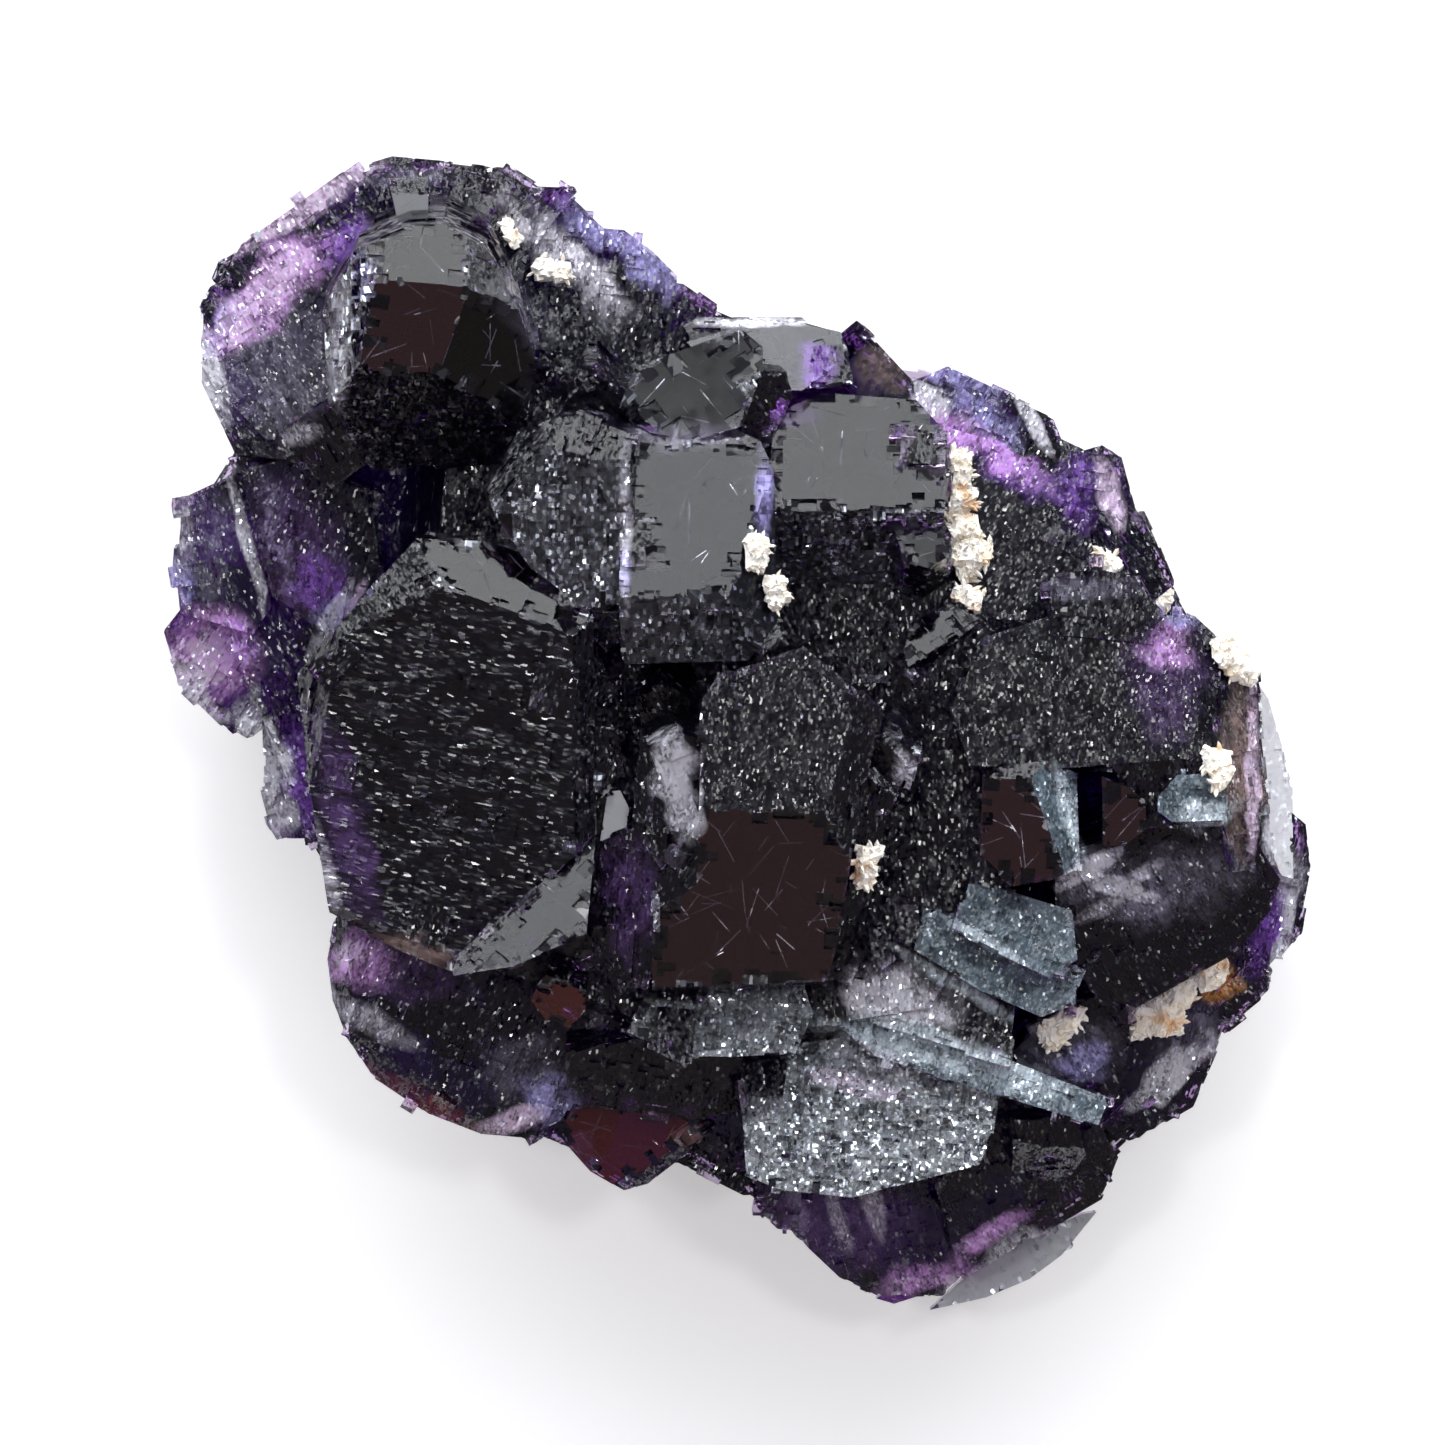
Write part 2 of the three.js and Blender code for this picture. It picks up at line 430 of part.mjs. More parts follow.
// The crusts of calcite, each a chain of lumps [x, y, radius] that lie on the fluorite.
const crusts = {
  calcite_east_spray: [[11.3, 15.8, 0.9], [12, 14.6, 1.1], [12.2, 13, 1.1], [12.4, 11.4, 1],
    [12.9, 10.2, 1.1], [12.6, 9.3, 0.9]],
  calcite_east_dot: [[12.8, 7.2, 0.8], [12.3, 7.6, 0.6]],
  calcite_east_peak: [[19.1, 9.5, 0.6], [20, 9.8, 0.8], [20.8, 9.5, 0.6]],
  calcite_east_edge: [[23, 8.3, 0.7], [23.4, 7.5, 0.8]],
  calcite_east_ridge: [[26.7, 4.6, 0.8], [27.4, 3.9, 0.8], [28.2, 3.2, 0.6]],
  calcite_east_ring: [[26.4, -1.3, 0.7], [26.7, -2.2, 0.7]],
  calcite_heart_high: [[0.9, 10.1, 0.8], [0.9, 9.5, 0.7]],
  calcite_heart_low: [[2, 8.2, 0.7], [2.1, 7.3, 0.6]],
  calcite_middle: [[6.9, -6.7, 0.8], [7, -7.6, 0.7]],
  calcite_north: [[-10.8, 25.8, 0.7], [-9.8, 25.6, 0.6], [-9.1, 24.6, 0.6]],
  calcite_north_dot: [[-13, 28.1, 0.5], [-12.5, 27.5, 0.5]],
  calcite_south_east: [[19.7, -12.8, 0.9], [19.3, -14.2, 0.9], [18.4, -15.6, 0.9], [17.6, -16.6, 0.8]],
  calcite_south_rim: [[22.6, -15.8, 1], [23.8, -15.7, 1.1], [24.8, -14.4, 0.9], [26.4, -13.2, 0.8]],
};

// The outlines of the massive back and of the core on it, seen from above, where each is widest.
const backRim = [[-24.5, 21], [-19, 26.5], [-12, 26], [15, 14.5], [22, 5], [26, -5], [22, -17], [12, -26],
  [5, -24.5], [-16, -14], [-20.5, -8], [-25.5, 4], [-26, 13]];
const coreRim = [[-18, 19], [-8, 22], [8, 18], [19, 5], [20, -6], [12, -18], [0, -20], [-14, -14],
  [-20, 0]];

const radians = THREE.MathUtils.degToRad;
const up = new THREE.Vector3(0, 0, 1);

// A repeatable source of numbers from 0 to 1.
function randomSource(start) {
  let state = start;
  return () => {
    state = (state * 1664525 + 1013904223) % 4294967296;
    return state / 4294967296;
  };
}

// The direction that a face looks in when it leans from level.
function leaning([towards, by]) {
  const flat = Math.sin(radians(by));
  const turn = radians(towards);
  return new THREE.Vector3(flat * Math.cos(turn), flat * Math.sin(turn), Math.cos(radians(by)));
}

// A plane as its outward direction and its distance along it, from a point on it.
const planeThrough = (point, normal) => ({ normal, distance: normal.dot(point) });

// Where three planes meet, or nothing where they don't.
function meeting(a, b, c) {
  const cross = new THREE.Vector3().crossVectors(b.normal, c.normal);
  const volume = a.normal.dot(cross);
  if (Math.abs(volume) < 1e-6) return null;
  return cross
    .multiplyScalar(a.distance)
    .add(new THREE.Vector3().crossVectors(c.normal, a.normal).multiplyScalar(b.distance))
    .add(new THREE.Vector3().crossVectors(a.normal, b.normal).multiplyScalar(c.distance))
    .divideScalar(volume);
}

// The corners of the block that its planes enclose, each once.
function cornersOf(planes) {
  const close = 1e-4;
  const corners = [];
  for (let i = 0; i < planes.length; i++)
    for (let j = i + 1; j < planes.length; j++)
      for (let k = j + 1; k < planes.length; k++) {
        const corner = meeting(planes[i], planes[j], planes[k]);
        if (!corner) continue;
        if (planes.some(({ normal, distance }) => normal.dot(corner) > distance + close)) continue;
        if (corners.some((other) => other.distanceTo(corner) < 10 * close)) continue;
        corners.push(corner);
      }
  return corners;
}

const wasm = await Module();
wasm.setup();

// The block that a list of planes encloses, as a solid.
function solidOf(planes) {
  const corners = cornersOf(planes);
  const hull = new ConvexHull().setFromPoints(corners);
  const numbers = new Map(corners.map((corner, i) => [corner, i]));
  const triangles = hull.faces.flatMap(({ edge }) =>
    [edge, edge.next, edge.next.next].map((side) => numbers.get(side.head().point)),
  );
  return new wasm.Manifold(
    new wasm.Mesh({
      numProp: 3,
      vertProperties: new Float32Array(corners.flatMap((corner) => corner.toArray())),
      triVerts: new Uint32Array(triangles),
    }),
  );
}

// The middle of an outline, from the box around it.
function middleOf(rim) {
  const box = new THREE.Box2().setFromPoints(rim.map(([x, y]) => new THREE.Vector2(x, y)));
  return box.getCenter(new THREE.Vector2());
}

// The height of a plane at a place seen from above.
const heightOf = ({ normal, distance }, x, y) => (distance - normal.x * x - normal.y * y) / normal.z;

// The planes of a crystal: its face, its sides along the outline, its underside and its further faces.
function crystalPlanes({ rim, top, lean, deep, upright = false, faces = [] }) {
  const middle = middleOf(rim);
  const normal = leaning(lean);
  const centre = new THREE.Vector3(middle.x, middle.y, top);
  const face = planeThrough(centre, normal);
  const axis = upright ? up : normal;
  const lifted = rim.map(([x, y]) => new THREE.Vector3(x, y, heightOf(face, x, y)));
  const sides = lifted.map((corner, i) => {
    const edge = new THREE.Vector3().subVectors(lifted[(i + 1) % lifted.length], corner);
    const out = new THREE.Vector3().crossVectors(edge, axis).normalize();
    const inward = new THREE.Vector3().subVectors(centre, corner);
    if (out.dot(inward) > 0) out.negate();
    return planeThrough(corner, out);
  });
  const under = planeThrough(centre.clone().addScaledVector(normal, -deep), normal.clone().negate());
  const further = faces.map(([x, y, z, towards, by]) =>
    planeThrough(new THREE.Vector3(x, y, z), leaning([towards, by])),
  );
  return { face, sides, under, further };
}

// Planes pushed out by a distance.
const pushed = (planes, by) => planes.map(({ normal, distance }) => ({ normal, distance: distance + by }));

// A box turned by a yaw and leaned, as planes, around its middle.
function boxPlanes(middle, size, yaw, lean) {
  const turn = new THREE.Quaternion()
    .setFromUnitVectors(up, leaning(lean))
    .multiply(new THREE.Quaternion().setFromAxisAngle(up, radians(yaw)));
  const axes = [new THREE.Vector3(1, 0, 0), new THREE.Vector3(0, 1, 0), up];
  return axes.flatMap((axis, i) => {
    const normal = axis.clone().applyQuaternion(turn);
    const reach = normal.clone().multiplyScalar(size[i] / 2);
    return [
      planeThrough(middle.clone().add(reach), normal),
      planeThrough(middle.clone().sub(reach), normal.clone().negate()),
    ];
  });
}

// Growth steps: low blocks in step with a crystal, near the edge of its face, held within the crystal grown
// by the height that they stand proud.
function growthSteps({ rim, yaw, lean, steps }, { face, sides, under, further }, random) {
  const stepDepth = 5;
  const headroom = 1;
  const middle = middleOf(rim);
  const blocks = [];
  for (let i = 0; i < steps; i++) {
    const corner = Math.floor(random() * rim.length);
    const [x0, y0] = rim[corner];
    const [x1, y1] = rim[(corner + 1) % rim.length];
    const along = random();
    const inward = 0.04 + 0.22 * random();
    const x = THREE.MathUtils.lerp(THREE.MathUtils.lerp(x0, x1, along), middle.x, inward);
    const y = THREE.MathUtils.lerp(THREE.MathUtils.lerp(y0, y1, along), middle.y, inward);
    const size = [1.6 + 3 * random(), 1 + 1.8 * random(), stepDepth];
    const proud = 0.15 + 0.35 * random();
    const quarter = random() < 0.5 ? 0 : 90;
    const onFace = new THREE.Vector3(x, y, heightOf(face, x, y));
    const place = onFace.addScaledVector(face.normal, proud + headroom - stepDepth / 2);
    const held = pushed([face, ...sides, under, ...further], proud);
    blocks.push([...boxPlanes(place, size, yaw + quarter, lean), ...held]);
  }
  return blocks;
}

// A massive block: a level top and bottom, and sides that fall in towards the bottom from where it is widest.
function massPlanes(rim, height, widest, leanIn) {
  const middle = middleOf(rim);
  const sides = rim.map(([x, y], i) => {
    const [nextX, nextY] = rim[(i + 1) % rim.length];
    const out = new THREE.Vector3(nextY - y, x - nextX, 0).normalize();
    if (out.dot(new THREE.Vector3(x - middle.x, y - middle.y, 0)) < 0) out.negate();
    const fall = radians(leanIn + 6 * Math.sin(i * 2.4));
    const normal = new THREE.Vector3(out.x * Math.cos(fall), out.y * Math.cos(fall), -Math.sin(fall));
    return planeThrough(new THREE.Vector3(x, y, widest), normal);
  });
  return [{ normal: up, distance: height }, { normal: up.clone().negate(), distance: 0 }, ...sides];
}

// The height of the fluorite's surface at a place seen from above.
function heightAt(blocks, x, y) {
  let highest = 0;
  for (const planes of blocks) {
    let ceiling = Infinity;
    let floor = -Infinity;
    for (const { normal, distance } of planes) {
      const rest = distance - normal.x * x - normal.y * y;
      if (normal.z > 1e-6) ceiling = Math.min(ceiling, rest / normal.z);
      else if (normal.z < -1e-6) floor = Math.max(floor, rest / normal.z);
      else if (rest < 0) floor = Infinity;
    }
    if (ceiling > floor) highest = Math.max(highest, ceiling);
  }
  return highest;
}

// Cubes grown on the sides of the back, all the way around, each moved in until the crystals above cover it.
function flankBlocks(above, random) {
  const blocks = [];
  for (let i = 0; i < flankCubes; i++) {
    const spot = (i / flankCubes) * backRim.length;
    const corner = Math.floor(spot);
    const [x0, y0] = backRim[corner];
    const [x1, y1] = backRim[(corner + 1) % backRim.length];
    const x = THREE.MathUtils.lerp(x0, x1, spot - corner);
    const y = THREE.MathUtils.lerp(y0, y1, spot - corner);
    const z = 4.5 + 5.5 * random();
    const out = THREE.MathUtils.radToDeg(Math.atan2(y, x));
    const side = 4.6 + 3.4 * random();
    const size = [side, side * (0.8 + 0.3 * random()), side * (0.8 + 0.3 * random())];
    const yaw = out + 50 * (random() - 0.5);
    const lean = [out, 10 + 34 * random()];
    for (let reach = 1.05; reach > 0.7; reach -= 0.025) {
      const planes = boxPlanes(new THREE.Vector3(x * reach, y * reach, z), size, yaw, lean);
      if (!cornersOf(planes).every((point) => heightAt(above, point.x, point.y) > point.z)) continue;
      blocks.push(planes);
      break;
    }
  }
  return blocks;
}

// Every block of the fluorite as planes.
function fluoriteBlocks() {
  const random = randomSource(seed);
  const grown = crystals.flatMap((crystal) => {
    const planes = crystalPlanes(crystal);
    const { face, sides, under, further } = planes;
    return [[face, ...sides, under, ...further], ...growthSteps(crystal, planes, random)];
  });
  return [
    massPlanes(backRim, backHeight, backWidest, backLean),
    massPlanes(coreRim, coreHeight, backHeight, coreLean),
    ...grown,
    ...flankBlocks(grown, random),
  ];
}

const joined = (blocks) => blocks.map(solidOf).reduce((sum, solid) => sum.add(solid));

// A rough lump: a block of flat faces all around a middle, at uneven distances.
function lumpPlanes(middle, radius, random) {
  const count = 10;
  const goldenTurn = 2.4;
  return Array.from({ length: count }, (_, i) => {
    const level = 1 - (2 * i + 1) / count;
    const turn = i * goldenTurn + 0.8 * random();
    const flat = Math.sqrt(1 - level * level);
    const normal = new THREE.Vector3(flat * Math.cos(turn), flat * Math.sin(turn), level);
    return planeThrough(middle.clone().addScaledVector(normal, radius * (0.72 + 0.4 * random())), normal);
  });
}

// The largest closed surface of a solid, which leaves out loose chips and fills any hollows inside.
function largestPiece(solid) {
  return solid.decompose().reduce((kept, piece) => (piece.volume() > kept.volume() ? piece : kept));
}

// A crust: lumps along a chain, less the fluorite and the gap to it.
function crustSolid(chain, blocks, keptClear, random) {
  const lumps = chain.map(([x, y, radius]) => {
    const middle = new THREE.Vector3(x, y, heightAt(blocks, x, y) + 0.45 * radius);
    return lumpPlanes(middle, radius, random);
  });
  return largestPiece(joined(lumps).subtract(keptClear));
}

// A solid as a mesh.
function meshOf(name, solid, look) {
  const made = solid.getMesh();
  const shared = new THREE.BufferGeometry();
  shared.setAttribute("position", new THREE.BufferAttribute(new Float32Array(made.vertProperties), 3));
  shared.setIndex(new THREE.BufferAttribute(new Uint32Array(made.triVerts), 1));
  const geometry = shared.toNonIndexed();
  geometry.computeVertexNormals();
  const mesh = new THREE.Mesh(geometry, look);
  mesh.name = name;
  return mesh;
}

const fluoriteLook = new THREE.MeshStandardMaterial({ color: 0x1c1428, roughness: 0.2, metalness: 0 });
const calciteLook = new THREE.MeshStandardMaterial({ color: 0xe9dcc4, roughness: 0.8, metalness: 0 });

const blocks = fluoriteBlocks();
const belowFloor = solidOf(boxPlanes(new THREE.Vector3(0, 0, -30), [180, 180, 60], 0, [0, 0]));
const fluorite = largestPiece(joined(blocks).subtract(belowFloor));
const keptClear = joined(blocks.map((planes) => pushed(planes, gap)));

const cluster = new THREE.Group();
cluster.add(meshOf("fluorite_cluster", fluorite, fluoriteLook));
const crustRandom = randomSource(seed + 1);
for (const [name, chain] of Object.entries(crusts))
  cluster.add(meshOf(name, crustSolid(chain, blocks, keptClear, crustRandom), calciteLook));

// The origin is the middle of the footprint, on the resting face.
const footprint = new THREE.Box3().setFromObject(cluster).getCenter(new THREE.Vector3());
cluster.position.set(-footprint.x, -footprint.y, 0);

export default cluster;
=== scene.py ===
"""A hand-sized cluster of dark purple fluorite with crusts of cream calcite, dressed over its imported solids.

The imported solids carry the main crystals. This script cuts the fine growth relief into them, grows small
spars on the calcite, and gives every surface its finish. Blender's lengths are metres, and the sizes below
whose names end in _mm are millimetres.
"""

import logging
import math
import random
from collections import defaultdict
from contextlib import contextmanager
from dataclasses import dataclass, field
from enum import Enum
from functools import partial
from typing import Any, Callable, Iterable, Iterator, Sequence, Union

import bmesh
import bpy
import numpy as np
from mathutils import Matrix, Vector
from mathutils.bvhtree import BVHTree


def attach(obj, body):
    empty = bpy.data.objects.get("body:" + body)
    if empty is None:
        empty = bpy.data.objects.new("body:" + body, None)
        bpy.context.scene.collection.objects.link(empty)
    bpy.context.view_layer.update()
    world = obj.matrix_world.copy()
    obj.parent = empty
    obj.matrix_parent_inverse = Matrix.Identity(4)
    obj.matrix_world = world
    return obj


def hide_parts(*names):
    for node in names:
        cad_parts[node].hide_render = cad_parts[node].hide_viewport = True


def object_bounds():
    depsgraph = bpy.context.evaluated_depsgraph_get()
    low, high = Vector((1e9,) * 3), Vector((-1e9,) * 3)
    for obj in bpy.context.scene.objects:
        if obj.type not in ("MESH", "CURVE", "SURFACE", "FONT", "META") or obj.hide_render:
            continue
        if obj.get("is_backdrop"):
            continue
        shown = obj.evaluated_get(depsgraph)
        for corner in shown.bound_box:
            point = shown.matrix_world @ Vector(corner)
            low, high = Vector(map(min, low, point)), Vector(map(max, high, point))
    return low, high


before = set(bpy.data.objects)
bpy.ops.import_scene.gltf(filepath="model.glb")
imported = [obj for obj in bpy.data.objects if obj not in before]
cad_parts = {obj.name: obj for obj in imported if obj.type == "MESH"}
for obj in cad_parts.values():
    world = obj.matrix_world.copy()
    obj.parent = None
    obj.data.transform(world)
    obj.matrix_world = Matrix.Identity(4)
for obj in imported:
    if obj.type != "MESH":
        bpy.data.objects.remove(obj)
CAD_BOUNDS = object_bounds()

LOG = logging.getLogger("fluorite")
MM = 0.001
WELD = 2e-7
BLUR = 1.3
RAGGED_MM = 1.3

Colour = tuple[float, float, float]
Point = tuple[float, float, float]
Span = tuple[float, float]
Shape = tuple[Sequence[Vector], Sequence[Sequence[int]]]


# Shader building


class Wire:
    """A socket, or a plain number, that can be used in arithmetic: each operator adds a Math node."""

    def __init__(self, graph: "Graph", socket: Any) -> None:
        """Wraps a socket of a graph."""
        self.graph = graph
        self.socket = socket

    def _math(self, operation: str, *values: "Value", clamp: bool = False) -> "Wire":
        """Adds a Math node.

        Args:
            operation: the node's operation.
            values: its inputs, in order.
            clamp: whether the result is held between 0 and 1.

        Returns:
            The node's result.
        """
        return self.graph.node("Math", dict(enumerate(values)), operation=operation, use_clamp=clamp)

    def __add__(self, other: "Value") -> "Wire":
        """The sum."""
        return self._math("ADD", self, other)

    def __radd__(self, other: "Value") -> "Wire":
        """The sum, reflected."""
        return self._math("ADD", other, self)

    def __sub__(self, other: "Value") -> "Wire":
        """The difference."""
        return self._math("SUBTRACT", self, other)

    def __rsub__(self, other: "Value") -> "Wire":
        """The difference, reflected."""
        return self._math("SUBTRACT", other, self)

    def __mul__(self, other: "Value") -> "Wire":
        """The product."""
        return self._math("MULTIPLY", self, other)

    def __rmul__(self, other: "Value") -> "Wire":
        """The product, reflected."""
        return self._math("MULTIPLY", other, self)

    def __truediv__(self, other: "Value") -> "Wire":
        """The quotient."""
        return self._math("DIVIDE", self, other)

    def clamped(self) -> "Wire":
        """This held between 0 and 1."""
        return self._math("ADD", self, 0.0, clamp=True)

    def most(self, other: "Value") -> "Wire":
        """The greater of the two."""
        return self._math("MAXIMUM", self, other)

    def ramp(self, low: float, high: float) -> "Wire":
        """This stretched so that low gives 0 and high gives 1, held between them."""
        span = high - low
        return self._math("MULTIPLY_ADD", self, 1.0 / span, -low / span, clamp=True)

    def ramp_between(self, low: "Value", high: "Value") -> "Wire":
        """The same with ends that vary."""
        return ((self - low) / (high - low)).clamped()


Value = Union[Wire, float, int]


class Graph:
    """The node tree of one material or world."""

    def __init__(self, owner: Any) -> None:
        """Empties the owner's node tree and keeps it."""
        self.owner = owner
        owner.use_nodes = True
        self.tree = owner.node_tree
        self.tree.nodes.clear()

    def node(self, kind: str, inputs: dict[Any, Any], output: Any = 0, **settings: Any) -> Wire:
        """Adds a node.

        Args:
            kind: the node's type, without the prefix that all of them share.
            inputs: values or wires for its sockets, by name or number.
            output: the name or number of the output that is wanted.
            settings: its own settings, set first. The one named ramp holds a colour ramp's stops.

        Returns:
            That output.
        """
        node = self.tree.nodes.new("ShaderNode" + kind)
        for key, value in settings.items():
            if key == "ramp":
                self._set_ramp(node, value)
            else:
                setattr(node, key, value)
        for key, value in inputs.items():
            if isinstance(value, Wire):
                self.tree.links.new(value.socket, node.inputs[key])
            else:
                node.inputs[key].default_value = value
        return Wire(self, node.outputs[output])

    def _set_ramp(self, node: Any, stops: Sequence[tuple[float, Colour]]) -> None:
        """Sets a colour ramp's stops."""
        elements = node.color_ramp.elements
        elements.remove(elements[1])
        elements[0].position = stops[0][0]
        elements[0].color = rgba(stops[0][1])
        for place, colour in stops[1:]:
            elements.new(place).color = rgba(colour)

    def attribute(self, name: str, output: str) -> Wire:
        """An attribute of the mesh, as its Vector or Fac output."""
        return self.node("Attribute", {}, output, attribute_name=name)

    def place(self) -> Wire:
        """The place on the object, in metres of its own frame."""
        return self.node("TexCoord", {}, "Object")

    def vector(self, operation: str, *values: Any, output: Any = 0, **named: Any) -> Wire:
        """Adds a Vector Math node and gives one of its outputs."""
        return self.node("VectorMath", {**dict(enumerate(values)), **named}, output, operation=operation)

    def split(self, vector: Wire) -> list[Wire]:
        """The three parts of a vector."""
        node = self.node("SeparateXYZ", {0: vector}).socket.node
        return [Wire(self, socket) for socket in node.outputs]

    def noise(self, vector: Wire, scale: float, detail: float = 2.0, output: str = "Fac") -> Wire:
        """A noise texture."""
        return self.node("TexNoise", {"Vector": vector, "Scale": scale, "Detail": detail}, output)

    def mix(self, factor: Value, first: Any, second: Any) -> Wire:
        """A mix of two colours."""
        return self.node("Mix", {"Factor": factor, 6: first, 7: second}, 2, data_type="RGBA")

    def principled(self, inputs: dict[Any, Any]) -> Wire:
        """Adds a Principled shader."""
        return self.node("BsdfPrincipled", inputs)

    def output(self, kind: str, inputs: dict[str, Wire]) -> None:
        """Adds the output node and links it."""
        node = self.tree.nodes.new("ShaderNodeOutput" + kind)
        for key, value in inputs.items():
            self.tree.links.new(value.socket, node.inputs[key])


def rgba(colour: Colour) -> tuple[float, float, float, float]:
    """A colour with full alpha."""
    return (*colour, 1.0)


# Finishes


class Tint(Enum):
    """The colours of the cloudy and stained places in the crystal, some of them painted light: the share of
    light that they send back.
    """

    CLEAR = (0.0, 0.0, 0.0)
    DARK = (0.0018, 0.0016, 0.0036)
    # A faint grey: the real whitening of scratched smooth faces, and a painted sheen of reflected light in the
    # faint grey places.
    HAZE_AND_SHEEN = (0.060, 0.056, 0.076)
    VIOLET = (0.085, 0.030, 0.18)
    PURPLE = (0.040, 0.020, 0.066)
    MAGENTA = (0.34, 0.18, 0.40)
    PINK = (0.52, 0.40, 0.54)
    LILAC = (0.165, 0.15, 0.31)
    WHITE = (0.62, 0.61, 0.67)
    MIST = (0.24, 0.23, 0.26)
    # A whitish grey for the broken faces at chipped edges: partly a frosted fracture, partly a painted
    # highlight along the crystal edges.
    FROST = (0.090, 0.095, 0.105)
    SILVER = (0.150, 0.165, 0.175)
    STEEL = (0.066, 0.090, 0.108)
    # A pale cyan for the bright lower edges of the ledges: painted highlight.
    ICE_HIGHLIGHT = (0.33, 0.38, 0.41)
    # Dark brown and maroon: the crystal's own colour on south-facing faces, with part of their warm reflected
    # light painted in.
    BROWN = (0.020, 0.0085, 0.0095)
    MAROON = (0.060, 0.010, 0.007)
    FAWN = (0.15, 0.105, 0.095)
    AMBER = (0.45, 0.20, 0.04)
    # A pale grey that stands in for the reflection of the bright room on mirror-smooth faces: painted
    # reflection, the same from every side.
    PAINTED_SHEEN = (0.47, 0.48, 0.49)
    ROCK = (0.040, 0.032, 0.048)
    SLATE = (0.034, 0.035, 0.042)


@dataclass(frozen=True)
class Relief:
    """The relief and polish of one kind of crystal face.

    cuts and blocks are how many small steps a square millimetre has, cut into the face and standing on it.
    long_mm and deep_mm are the ranges of their lengths and depths. grain_mm is the size of the finest grains
    along the face and across it, lean how far they tip, and spark how many of them flash. polish is how
    smooth the face is, from 0 to 1, and tint its colour: the crystal's own on most kinds, a painted reflection
    of the room on the MIRROR and DULL kinds, and partly a painted warm reflection on the BROWN and GARNET
    ones.
    teeth is how many steps a millimetre of its rim has.
    """

    cuts: float
    blocks: float
    long_mm: Span
    deep_mm: Span
    grain_mm: Span
    lean: float
    polish: float
    spark: float
    tint: Tint
    teeth: float = 0.0


class Face(Enum):
    """The kinds of crystal face on the group."""

    ETCHED = Relief(0.65, 0.20, (0.4, 1.6), (0.04, 0.20), (0.20, 0.12), 0.70, 0.55, 0.010, Tint.DARK)
    STRIPED = Relief(0.70, 0.12, (0.4, 1.7), (0.03, 0.14), (0.11, 0.36), 0.80, 0.60, 0.008, Tint.DARK)
    GRAIN = Relief(0.50, 0.12, (0.3, 1.2), (0.03, 0.12), (0.17, 0.11), 0.42, 0.50, 0.006, Tint.DARK)
    PLATE = Relief(0.02, 0.0, (0.3, 0.9), (0.03, 0.08), (0.6, 0.6), 0.012, 1.0, 0.0, Tint.CLEAR, 1.5)
    # The BROWN and GARNET faces are smooth, with a body colour that is partly a painted warm reflection.
    BROWN = Relief(0.04, 0.0, (0.3, 1.0), (0.03, 0.08), (0.5, 0.5), 0.03, 0.95, 0.0, Tint.BROWN, 1.2)
    GARNET = Relief(0.04, 0.0, (0.3, 1.0), (0.03, 0.08), (0.5, 0.5), 0.03, 0.95, 0.0, Tint.MAROON, 1.2)
    SATIN = Relief(0.15, 0.08, (0.4, 1.4), (0.03, 0.12), (0.22, 0.16), 0.20, 0.65, 0.05, Tint.DARK)
    STEEL = Relief(0.50, 0.25, (0.4, 1.6), (0.03, 0.14), (0.16, 0.12), 0.85, 0.50, 0.10, Tint.STEEL)
    GLITTER = Relief(1.8, 0.6, (0.25, 0.9), (0.08, 0.40), (0.17, 0.15), 1.0, 0.70, 0.70, Tint.SILVER)
    FLANK = Relief(1.4, 0.8, (0.5, 1.6), (0.10, 0.35), (0.36, 0.24), 1.2, 0.80, 0.80, Tint.DARK)
    FLAKY = Relief(1.0, 0.4, (0.4, 1.5), (0.08, 0.32), (0.24, 0.17), 0.95, 0.60, 0.30, Tint.SLATE)
    WALL = Relief(0.15, 0.02, (0.6, 2.5), (0.05, 0.20), (0.35, 0.22), 0.30, 0.60, 0.04, Tint.DARK)
    BACK = Relief(0.55, 0.0, (0.8, 3.4), (0.10, 0.50), (0.30, 0.24), 0.95, 0.60, 0.10, Tint.SLATE)
    # The MIRROR and DULL faces take a pale grey as their colour, a painted reflection of the room.
    MIRROR = Relief(0.03, 0.0, (0.3, 1.0), (0.03, 0.08), (0.5, 0.5), 0.03, 0.90, 0.0, Tint.PAINTED_SHEEN)
    DULL = Relief(0.30, 0.0, (0.3, 1.2), (0.03, 0.10), (0.34, 0.22), 0.25, 0.80, 0.10, Tint.PAINTED_SHEEN)
    FROSTED = Relief(0.10, 0.05, (0.4, 1.4), (0.03, 0.10), (0.3, 0.2), 0.15, 0.70, 0.0, Tint.SLATE)
    CUT = Relief(0.0, 0.0, (0.5, 1.0), (0.05, 0.10), (0.3, 0.3), 0.15, 0.20, 0.0, Tint.ROCK)


